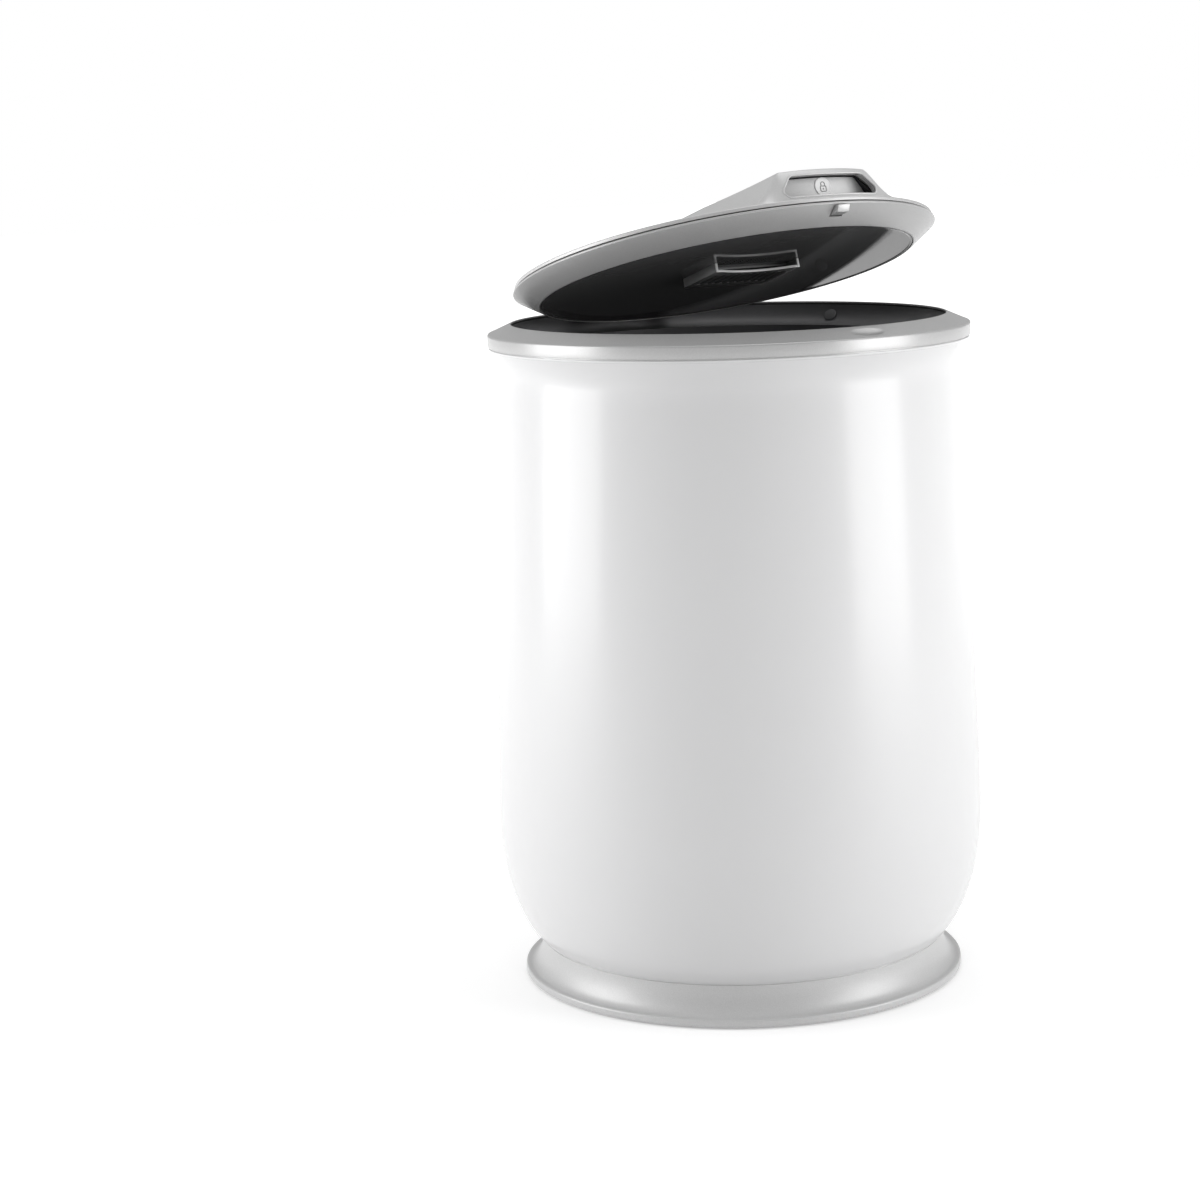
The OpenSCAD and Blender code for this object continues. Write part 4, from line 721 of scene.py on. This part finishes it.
def makePlinth():
    s = SimpleNamespace(**plinth)
    wide, high = s.rimR - s.coveIn - s.waistR, s.waistZ - s.rimTop
    foot = rounded([(s.rimR - s.wall, s.footZ), (s.rimR, s.footZ, 0.5),
                    (s.rimR, s.rimTop, s.rimRound), (s.waistR + wide + 0.6, s.rimTop)],
                   closed=False)
    profile = foot + [
        (s.waistR + wide * (1 - sin(radians(a))), s.waistZ - high * cos(radians(a)))
        for a in range(0, 87, 3)] + [(s.waistR, s.waistZ - 0.5), (s.waistR - 0.5, s.waistZ)]
    profile += [(s.flangeR, s.waistZ), (s.flangeR, s.waistZ - s.flangeT)]
    last = 90 - degrees(asin(s.flangeT / (high + s.wall)))
    profile += [(s.waistR + wide - (wide + s.wall) * sin(t), s.waistZ - (high + s.wall) * cos(t))
                for t in (radians(last * (1 - i / 10)) for i in range(11))]
    profile += [(s.rimR - s.wall, s.rimTop - s.wall)]
    mesh = turned(profile)
    disc = [(cos(radians(a)), sin(radians(a))) for a in range(0, 360, 6)]

    def rodY(radius, fromY, toY):
        return prism([(radius * x, s.glandZ + radius * z) for x, z in disc], -fromY, -toY, "uw")

    mesh = carved(mesh, rodY(s.flangeHole + s.bossWall, s.glandY - 10, s.glandY), "UNION")
    mesh = carved(mesh, rodY(s.glandR, s.glandY - 14, s.glandY + 4))
    mesh = carved(mesh, rodY(s.flangeHole, s.glandY, s.glandY + 8))
    addPiece("plinth", mesh, "plinthGrey", "body", ["base_plinth"])


# Top ring: sloping face, rounded outer edge, dimple at the front and pocket for the hinge behind
topRing = {
    "crestR": 144.4, "outerR": 160.3, "crestZ": 445, "land": 0.6, "slope": 0.4403, "bandZ": 430.4,
    "bandIn": 1.4, "bandWall": 3.2, "shellTop": 429.6, "edgeRound": 1.6, "wall": 2.4, "gap": 0.3,
    "skirtIn": 146.4, "skirtOut": 148.8, "skirtLow": 402, "lipT": 1.2,
    "dimpleAt": 152.35, "dimpleW": 24, "dimpleD": 9, "dimpleT": 1.0, "dimpleTurn": 1.9,
    "dimpleSoft": 0.012, "dimpleFade": 0.0025, "dimpleReach": 2.2, "dimpleBand": 7,
    "pocketHalf": 44, "pocketV": (149.3, 175), "pocketW": (437, 460),
    "shelfR": (148.8, 157.1), "shelfTurn": 18.4,
}


def makeTopRing():
    s = SimpleNamespace(**topRing)

    def face(r):
        return s.crestZ - (r - s.crestR - s.land) * s.slope

    round0 = s.outerR - s.edgeRound
    profile = [(s.crestR, s.crestZ - s.lipT)]
    profile += rounded([(s.crestR, s.crestZ - 1), (s.crestR, s.crestZ, 0.4),
                        (s.crestR + s.land + 0.4, face(s.crestR + s.land + 0.4))],
                       closed=False, steps=4)
    start = s.crestR + s.land + 0.8
    profile += [(r, face(r)) for r in np.linspace(start, round0 - 0.5, 30)]
    tilt = 90 - degrees(atan(s.slope))
    profile += [(round0 + s.edgeRound * cos(t), face(round0) + s.edgeRound * (sin(t) - 1))
                for t in (radians(tilt * (1 - k / 7)) for k in range(8))]
    step, inside = s.outerR - s.bandIn, s.outerR - s.bandWall
    profile += rounded([(s.outerR, s.bandZ + 4), (s.outerR, s.bandZ, 0.35), (step, s.bandZ),
                        (step, s.shellTop)], closed=False, steps=3)
    profile += [(inside, s.shellTop), (inside, face(inside) - s.wall - s.gap),
                (s.skirtOut, face(s.skirtOut) - s.wall - s.gap), (s.skirtOut, s.skirtLow),
                (s.skirtIn, s.skirtLow), (s.skirtIn, s.crestZ - s.lipT)]
    mesh = turned(profile, steps=720)
    spots = np.empty(len(mesh.vertices) * 3)
    mesh.vertices.foreach_get("co", spots)
    spots = spots.reshape(-1, 3)
    radii = np.hypot(spots[:, 0], spots[:, 1]) / mm
    turn = radians(s.dimpleTurn)
    across = (spots[:, 0] * cos(turn) + spots[:, 1] * sin(turn)) / mm
    out = radii - s.dimpleAt
    reach = (across / (s.dimpleW / 2)) ** 2 + (out / (s.dimpleD / 2)) ** 2
    onFace = (spots[:, 1] < 0) & (spots[:, 2] / mm > face(s.outerR) - 0.5)
    onFace &= (np.abs(out) < s.dimpleBand) & (reach < s.dimpleReach)
    depth = s.dimpleT * (np.sqrt((1 - reach) ** 2 + s.dimpleSoft) + 1 - reach) / 2
    depth = np.where(onFace, depth - s.dimpleT * s.dimpleFade, 0).clip(0)
    spots[:, 2] -= depth * mm
    mesh.vertices.foreach_set("co", spots.ravel())
    mesh.update()
    mesh = carved(mesh, block(s.pocketHalf, s.pocketV, s.pocketW))
    addPiece("topRing", mesh, "ringGrey", "body", ["top_ring"], sharp=40)
    near, far = s.shelfR
    turns = [pi / 2 + radians(s.shelfTurn) * (k / 24 - 1) for k in range(49)]
    arc = [(near * cos(t), near * sin(t)) for t in turns]
    arc += [(far * cos(t), far * sin(t)) for t in reversed(turns)]
    shelf = prism(arc, s.bandZ, s.pocketW[0])
    addPiece("pocketShelf", shelf, "ringGrey", "body")


# Inner pot with its curved seat and the opening that the latch hooks under
innerPot = {
    "potR": 129, "floorZ": 48, "wall": 1.6, "corner": 12, "seatW": 15.4, "seatH": 13.2,
    "ledgeZ": 429.4, "strikeHalf": 5.45, "strikeV": (-148, -139), "strikeW": (436.5, 440.25),
    "lipV": (-145.2, -142.4), "lipW": (440.25, 442.15),
}


def makeInnerPot():
    s = SimpleNamespace(**innerPot)

    def seat(a, back=0.0):
        t = radians(a)
        return (s.potR + back + s.seatW * sin(t),
                s.ledgeZ - back + (s.seatH + back) * (1 - cos(t)))

    def corner(a, grow):
        t = radians(a)
        return (s.potR - s.corner + (s.corner + grow) * sin(t),
                s.floorZ + s.corner - (s.corner + grow) * cos(t))

    profile = [(0.0, s.floorZ - s.wall)] + [corner(a, s.wall) for a in range(0, 91, 9)]
    profile += [(s.potR + s.wall, z) for z in (140, 240, 340)]
    profile += [seat(a, s.wall) for a in range(0, 91, 6)] + [seat(a) for a in range(90, -1, -3)]
    profile += [(s.potR, z) for z in (428.2, 426, 340, 240, 140)]
    profile += [corner(a, 0) for a in range(90, -1, -6)] + [(60, s.floorZ), (0.0, s.floorZ)]
    mesh = carved(turned(profile, closed=False), block(s.strikeHalf, s.strikeV, s.strikeW))
    lip = bevelled(block(s.strikeHalf, s.lipV, s.lipW), 0.2, 2)
    mesh = carved(mesh, lip, "UNION")
    addPiece("innerPot", mesh, "potBlack", "body", ["inner_pot"], sharp=40)


makeBodyShell()
makePlinth()
makeTopRing()
makeInnerPot()
print("body pieces made")

# Lid cover: a shallow dome that rises into a hood with a window at the front
lidCover = {
    "lidR": 140.3, "footIn": 1.5, "domeRise": 8.6, "edgeH": 1.7, "hoodH": 19.4, "hoodHalf": 32,
    "flank": 18, "hoodFront": 129, "hoodBack": -15, "windowLow": 39.5, "windowHigh": 27,
    "windowZ": 3.4, "windowH": 14.9, "windowBack": 112, "windowCorner": 4.2,
    "wall": 3.0, "rimR": 136.2, "rimZ": -1.0,
    "leafHalf": 41.6, "leafV": (126, 160), "leafW": (-2, 20),
    "panelAt": 92, "panelTilt": -2.6, "recess": (48.4, 46.4, 6), "recessLow": -1.8,
    "well": (38, 36, 3), "wellLow": -6, "bezelR": 0.55,
}


def softStep(x):
    return 0.0 if x <= 0 else 1.0 if x >= 1 else x * x * (3 - 2 * x)


def coverHeight(turn, r, inset=0.0):
    s = SimpleNamespace(**lidCover)
    foot = s.lidR - s.footIn
    domeR = (foot ** 2 + s.domeRise ** 2) / (2 * s.domeRise)
    cap = s.hoodFront - inset
    across, ahead = abs(min(r, cap) * sin(turn)), min(r, cap) * cos(turn)
    run = min(1, max(0, (ahead - s.hoodBack) / (s.hoodFront - 1 - s.hoodBack)))
    rise = s.hoodH * run ** 0.85 * softStep(run / 0.55)
    top, side = s.hoodHalf + 70 * (1 - run) ** 2.2, s.flank + 20 * (1 - run)
    x = min(1, max(0, (across - top + inset) / side))
    share = (1 - x ** 1.5) ** 1.8
    x = min(1, max(0, (r - cap) / (foot - s.hoodFront)))
    return s.edgeH + s.domeRise - r * r / (2 * domeR) - inset + rise * share * (1 - x ** 1.7)


def hoodFrame():
    s = SimpleNamespace(**lidCover)
    return (lidOpen @ Matrix.Translation((0, -s.panelAt * mm, coverHeight(0, s.panelAt) * mm))
            @ Matrix.Rotation(radians(s.panelTilt), 4, "X"))


def windowOutline(grow, corner, steps=6):
    s = SimpleNamespace(**lidCover)
    lean = (s.windowLow - s.windowHigh) / s.windowH
    slant = sqrt(1 + lean * lean)
    low, high = s.windowZ - grow, s.windowZ + s.windowH + grow
    wideLow = s.windowLow + grow * slant + grow * lean
    wideHigh = s.windowHigh + grow * slant - grow * lean
    return rounded([(wideLow, low, corner), (wideHigh, high, corner), (-wideHigh, high, corner),
                    (-wideLow, low, corner)], steps=steps)


def makeLidCover():
    s = SimpleNamespace(**lidCover)
    foot = s.lidR - s.footIn
    turns = [radians(a) for a in np.concatenate([np.arange(-60, 60, 0.5), np.arange(60, 300, 1.5)])]
    outerR = list(np.linspace(4, s.hoodFront - 5, 44))
    outerR += [s.hoodFront - d for d in (3.6, 2.4, 1.4, 0.6, 0)]
    outerR += [s.hoodFront + (foot - s.hoodFront) * k / 16 for k in range(1, 17)]
    innerR = list(np.linspace(6, s.hoodFront - 4, 20)) + [s.hoodFront + d for d in (-3, -1, 2)]
    innerR += [foot - 3]
    rings = [[(r, coverHeight(t, r)) for t in turns] for r in outerR]
    edge = rounded([(foot, s.edgeH), (s.lidR, s.edgeH - 0.5, 0.8), (s.lidR, s.rimZ, 0.3),
                    (s.rimR, s.rimZ)], closed=False, steps=4)[1:]
    rings += [[p] * len(turns) for p in edge]
    rings += [[(r, coverHeight(t, r, s.wall)) for t in turns] for r in reversed(innerR)]
    points = [(r * sin(t), -r * cos(t), w) for ring in rings for t, (r, w) in zip(turns, ring)]
    count, last = len(turns), len(rings) - 1
    faces = []
    for i in range(last):
        here, above = i * count, (i + 1) * count
        faces += [(here + j, here + (j + 1) % count, above + (j + 1) % count, above + j)
                  for j in range(count)]
    points += [(0, 0, coverHeight(0, 0)), (0, 0, coverHeight(0, 0, s.wall))]
    faces += [(len(points) - 2, (j + 1) % count, j) for j in range(count)]
    here = last * count
    faces += [(len(points) - 1, here + j, here + (j + 1) % count) for j in range(count)]
    mesh = outward(meshOf(points, faces))
    window = prism(windowOutline(0, s.windowCorner), s.windowBack, s.lidR + 5, "uw")
    recess = prism(roundedBox(*s.recess), s.recessLow, 8)
    well = prism(roundedBox(*s.well), s.wellLow, 4)
    for cutter in (recess, well):
        cutter.transform(lidOpen.inverted() @ hoodFrame())
    for cutter in (window, block(s.leafHalf, s.leafV, s.leafW), recess, well):
        mesh = carved(mesh, cutter)
    addPiece("lidCover", inLid(mesh), "coverGrey", "lid", ["lid_cover"], sharp=38)


def onFrontWall(u, w):
    low, high = lidCover["hoodFront"] - 2, lidCover["lidR"] - lidCover["footIn"]
    for step in range(40):
        r = (low + high) / 2
        if coverHeight(asin(min(1, abs(u) / r)), r) > w:
            low = r
        else:
            high = r
    return (u, -sqrt(max(0, low * low - u * u)), w)


def makeWindowEdge():
    points = []
    outline = windowOutline(0.05, lidCover["windowCorner"] + 0.1, steps=8)
    for i, here in enumerate(outline):
        after = outline[(i + 1) % len(outline)]
        parts = max(1, int(dist(here, after) / 1.5))
        points += [onFrontWall(*(a + (b - a) * k / parts for a, b in zip(here, after)))
                   for k in range(parts)]
    mesh = inLid(bead(points, lidCover["bezelR"]))
    addPiece("windowEdge", mesh, "coverGrey", "lid")


# Lid ring under the cover, with its wide bevel
lidRing = {
    "lidR": 140.3, "shoulderR": 142, "shoulderD": 3.2, "bevelR": 126, "bevelD": 14, "rimR": 136.2,
    "topW": -1.8, "wall": 3.5, "boltHalf": 4.8, "boltV": (-151, -126), "boltW": (-9.4, -4.2),
}


def makeLidRing():
    s = SimpleNamespace(**lidRing)
    corners = [(s.lidR - 0.3, s.topW, 0.2), (s.lidR + 1.1, s.topW - 0.2, 0.9),
               (s.shoulderR, -s.shoulderD, 1.2), (s.bevelR, -s.bevelD, 0.5),
               (s.bevelR - 0.8, -s.bevelD), (s.bevelR - 0.8, -s.bevelD + 3),
               (s.shoulderR - s.wall, s.topW - 1.6), (s.rimR + 0.2, s.topW - 1.6),
               (s.rimR + 0.2, s.topW)]
    mesh = carved(turned(rounded(corners), steps=320), block(s.boltHalf, s.boltV, s.boltW))
    addPiece("lidRing", inLid(mesh), "bevelGrey", "lid", ["lid_ring"])


# Liner: a dark glossy plate inside the bevel's lower edge
lidLiner = {"rimR": 124.9, "faceR": 123, "faceD": 13.4, "lower": 13.8, "wall": 1.6}


def makeLidLiner():
    s = SimpleNamespace(**lidLiner)
    rim, low = s.rimR, -s.lower
    profile = [(r, -s.faceD) for r in (0.0, 30, 60, 90, 110)]
    profile += rounded([(s.faceR - 4, -s.faceD), (s.faceR, -s.faceD, 0.8), (rim - 0.9, low, 0.3),
                        (rim, low, 0.5), (rim, low + s.wall, 0.3), (s.faceR, -s.faceD + s.wall)],
                       closed=False, steps=4)
    profile += [(60, -s.faceD + s.wall), (0.0, -s.faceD + s.wall)]
    mesh = inLid(turned(profile, closed=False))
    addPiece("lidLiner", mesh, "dishBlack", "lid", ["lid_liner"])


def circleLine(r, start=0, stop=360, step=15, at=(0, 0)):
    return [(at[0] + r * cos(radians(a)), at[1] + r * sin(radians(a)))
            for a in range(start, stop + (1 if step > 0 else -1), step)]


# Paddle, its round badge with a padlock mark, and the bolt that it draws back
paddle = {
    "r": 125, "t": 2.5, "gap": 0.5, "corner": 3.8, "edge": 0.5, "sliceAt": (-36, 36.1, 1.5),
    "legHalf": 4.25, "legV": (-117, -111), "legW": (-1.2, 8),
    "badgeR": 6, "badgeW": 11.8, "badgeFace": 125.4, "badgeT": 1.0,
}
padlock = {
    "half": 2.1, "low": -3.0, "top": 0.4, "round": 0.7, "bowR": 1.35, "bowLow": 1.5, "bowUp": 1.7,
    "keyhole": [(0, -0.9), (0, -1.9)], "stroke": 0.3, "holeStroke": 0.375,
}


def makePaddle():
    s = SimpleNamespace(**paddle)
    flat = prism(windowOutline(-s.gap, s.corner, steps=8), 0, s.t, "uw")
    work = bmesh.new()
    work.from_mesh(flat)
    for u in np.arange(*s.sliceAt):
        bmesh.ops.bisect_plane(work, geom=work.verts[:] + work.edges[:] + work.faces[:],
                               plane_co=(u * mm, 0, 0), plane_no=(1, 0, 0))
    for vert in work.verts:
        depth = s.t * mm + vert.co.y   # 0 at the face, t at the back
        r = s.r * mm - depth
        vert.co.y = -sqrt(r * r - vert.co.x ** 2)
    work.to_mesh(flat)
    work.free()
    face = bevelled(outward(flat), s.edge, 3, 50)
    mesh = inLid(joined(face, bevelled(block(s.legHalf, s.legV, s.legW), 0.3)))
    addPiece("releasePaddle", mesh, "paddleGrey", "latch", ["release_paddle"])


def onBadge(mesh):
    s = SimpleNamespace(**paddle)
    place = Matrix.Translation((0, -s.badgeFace * mm, s.badgeW * mm))
    mesh.transform(place @ Matrix.Rotation(radians(90), 4, "X"))
    return inLid(mesh)


def makeBadge():
    s, p = SimpleNamespace(**paddle), SimpleNamespace(**padlock)
    disc = turned(rounded([
        (0.0, 0.0), (s.badgeR - 0.75, 0.0, 0.15), (s.badgeR - 0.6, 0.12, 0.1),
        (s.badgeR, 0.12, 0.2), (s.badgeR, -s.badgeT), (0.0, -s.badgeT),
    ], closed=False, steps=3), steps=96, closed=False)
    addPiece("lockBadge", onBadge(disc), "badgeWhite", "latch", ["lock_badge"])
    body = rounded([(p.half, p.low, p.round), (p.half, p.top, p.round),
                    (-p.half, p.top, p.round), (-p.half, p.low, p.round)])
    bow = [(-p.bowR, p.top), (-p.bowR, p.bowLow)]
    bow += circleLine(p.bowR, 180, 0, -12, (0, p.bowUp)) + [(p.bowR, p.bowLow), (p.bowR, p.top)]
    strokes = ((body, p.stroke, True), (bow, p.stroke, False), (p.keyhole, p.holeStroke, False))
    icon = joined(*[bead([(x, y, 0) for x, y in line], r, shut, 8) for line, r, shut in strokes])
    addPiece("lockIcon", onBadge(icon), "markGrey", "latch", ["lock_icon"])


# Fragrance holder: a flat box under the liner, with slats below and a light-grey trim round its
# slot, whose pale colour paints the highlight on the slot's rounded edge
holder = {
    "slats": 10, "half": 32.5, "land": 4, "front": 38, "run": 26, "low": -19.2,
    "ridge": 0.6, "inset": 9,
}


def makeHolder():
    s = SimpleNamespace(**holder)
    addSoftened("fragranceHolder", "fragrance_holder", "holderBlack", 0.3, 2)
    half = s.half - s.land
    slats = outward(grown(meshOf([(0, 0, 0)]), "slat", {
        "Count": s.slats + 1, "Pitch": 2 * half / s.slats * mm, "Slat radius": s.ridge * mm,
        "Slat length": s.run * mm}))
    slats.transform(Matrix.Translation((-half * mm, (s.inset - s.front) * mm, s.low * mm)))
    addPiece("holderSlats", inLid(slats), "holderBlack", "lid")
    # the slot trim's pale grey is a painted highlight along the slot's edge
    addSoftened("slotTrimPaintedHighlight", "slot_trim", "slotHighlightPaint", 0.25, 2)


# Control panel on the hood: a glossy plate, a smoked lens and three keys with plain marks
panel = {
    "keyPitch": 12.5, "keyRow": -13, "keyTop": 1.2, "stroke": 0.22,
    "lensRow": 9, "barW": 0.65, "barHalf": 1.05, "barR": 0.28, "digits": (-6.2, 0, 6.2),
    "bars": [   # middle and whether it lies flat
        (0, 3, 1), (0, 0, 1), (0, -3, 1),
        (-1.5, 1.5, 0), (1.5, 1.5, 0), (-1.5, -1.5, 0), (1.5, -1.5, 0),
    ],
}


def drawn(lines, at, radius, sides):
    x, y, w = at
    mesh = joined(*[bead([(x + p[0], y + p[1], w) for p in line], radius, False, sides)
                    for line in lines])
    mesh.transform(hoodFrame())
    return mesh


def makePanel():
    s = SimpleNamespace(**panel)
    addSoftened("controlPanel", "control_panel", "panelGloss", 0.5)
    addSoftened("displayLens", "display_lens", "lensSmoke", 0.3)
    marks = {
        "power": [circleLine(1.7, 120, 420), [(0, 0.6), (0, 2.3)]],
        "timer": [circleLine(1.9), [(0, 1.1), (0, 0), (0.9, -0.5)]],
        "mode": [[(x * 1.3 - 1.3 + 0.35 * sin(t / 10 * 2 * pi), -1.7 + 0.34 * t) for t in range(11)]
                 for x in range(3)],
    }
    for place, (key, lines) in zip((-1, 0, 1), marks.items()):
        node = key + "_key"
        addSoftened(key + "Key", node, "keyGrey", 0.6, 4)
        mark = drawn(lines, (place * s.keyPitch, s.keyRow, s.keyTop), s.stroke, 8)
        addPiece(key + "Mark", mark, "markGrey", node)
    lines = []
    for digit in s.digits:
        for x, y, flat in s.bars:
            u, v = (s.barHalf, 0) if flat else (0, s.barHalf)
            lines.append([(digit + x - u, y - v), (digit + x + u, y + v)])
    shown = drawn(lines, (0, s.lensRow, s.barW), s.barR, 6)
    addPiece("displayBars", shown, "segmentDark", "lid")


makeLidCover()
makeWindowEdge()
makeLidRing()
makeLidLiner()
makePaddle()
makeBadge()
addSoftened("latchBolt", "latch_bolt", "boltGrey", 0.25)
makeHolder()
makePanel()
print("lid pieces made")

# Small rigid parts that keep their CAD form, with rounded edges
softened = {   # node: piece, finish, edge width
    "foot_pads": ("footPads", "rubberBlack", 0.4),
    "cord_gland": ("cordGland", "rubberBlack", 0.5),
    "hinge_bracket": ("hingeBracket", "ringGrey", 0.3),
    "hinge_cover": ("hingeCover", "ringGrey", 0.5),
    "hinge_leaf": ("hingeLeaf", "coverGrey", 0.4),
    "latch_guide": ("latchGuide", "darkPlastic", 0.2),
    "seat_sensor": ("seatSensor", "potBlack", 0.3),
}
for node, (name, finish, width) in softened.items():
    addSoftened(name, node, finish, width)

screws = {   # node: head radius, head height, shank radius, shank length, places, direction
    "base_screws": (2.9, 1.5, 1.4, 14.0, [(x, y, 3.1) for x, y in circleLine(128, 0, 300, 60)], -1),
    "leaf_screws": (2.9, 1.4, 1.4, 8.5, [(x, 131.0, 3.1) for x in (-34, -12, 12, 34)], 1),
    "hinge_screws": (2.2, 1.5, 1.1, 9.5, [(x, 152.2, 441) for x in (-30, 30)], 1),
}
slotWidth = 0.7
for node, (headR, headH, shankR, shankL, places, up) in screws.items():
    seed = meshOf([(x, y * up, z * up) for x, y, z in places])
    mesh = outward(grown(seed, "screw", {
        "Head radius": headR * mm, "Head height": headH * mm, "Shank radius": shankR * mm,
        "Shank length": shankL * mm, "Slot width": slotWidth * mm, "Seed": 7}))
    if up < 0:
        mesh.transform(Matrix.Rotation(pi, 4, "X"))
    if bodyOf[node] == "lid":
        inLid(mesh)
    addPiece(node.split("_")[0] + "Screws", mesh, "steel", bodyOf[node], [node], sharp=30)
print("hinge, feet and screws made")

# CAD parts that stay get their finishes
kept = {
    "darkPlastic": ["base_plate", "thermostat", "display_module"],
    "steel": ["shell_screws", "board_screws", "hinge_pin", "pin_clip", "lid_screws",
              "latch_springs", "paddle_screws", "panel_screws", "holder_screws"],
    "boardGreen": ["power_board", "panel_board"],
    "supportResin": ["board_posts", "pot_support", "thermal_fuse"],
    "aluminium": ["heater_plate"], "heaterFilm": ["heater_band"], "bronze": ["friction_bushes"],
    "insulationFelt": ["insulation_sleeve", "lid_insulation"],
    "rubberBlack": ["pot_gasket", "liner_gasket"],
}
dressed = set()
for finish, nodes in kept.items():
    for node in nodes:
        shown = frame["nodes"][node]
        shown.data.materials.clear()
        shown.data.materials.append(finishes[finish])
        dressed.add(node)
bare = [node for node, shown in frame["nodes"].items()
        if not shown.hide_render and node not in dressed]
print("finishes set on the CAD parts, left bare:", bare)
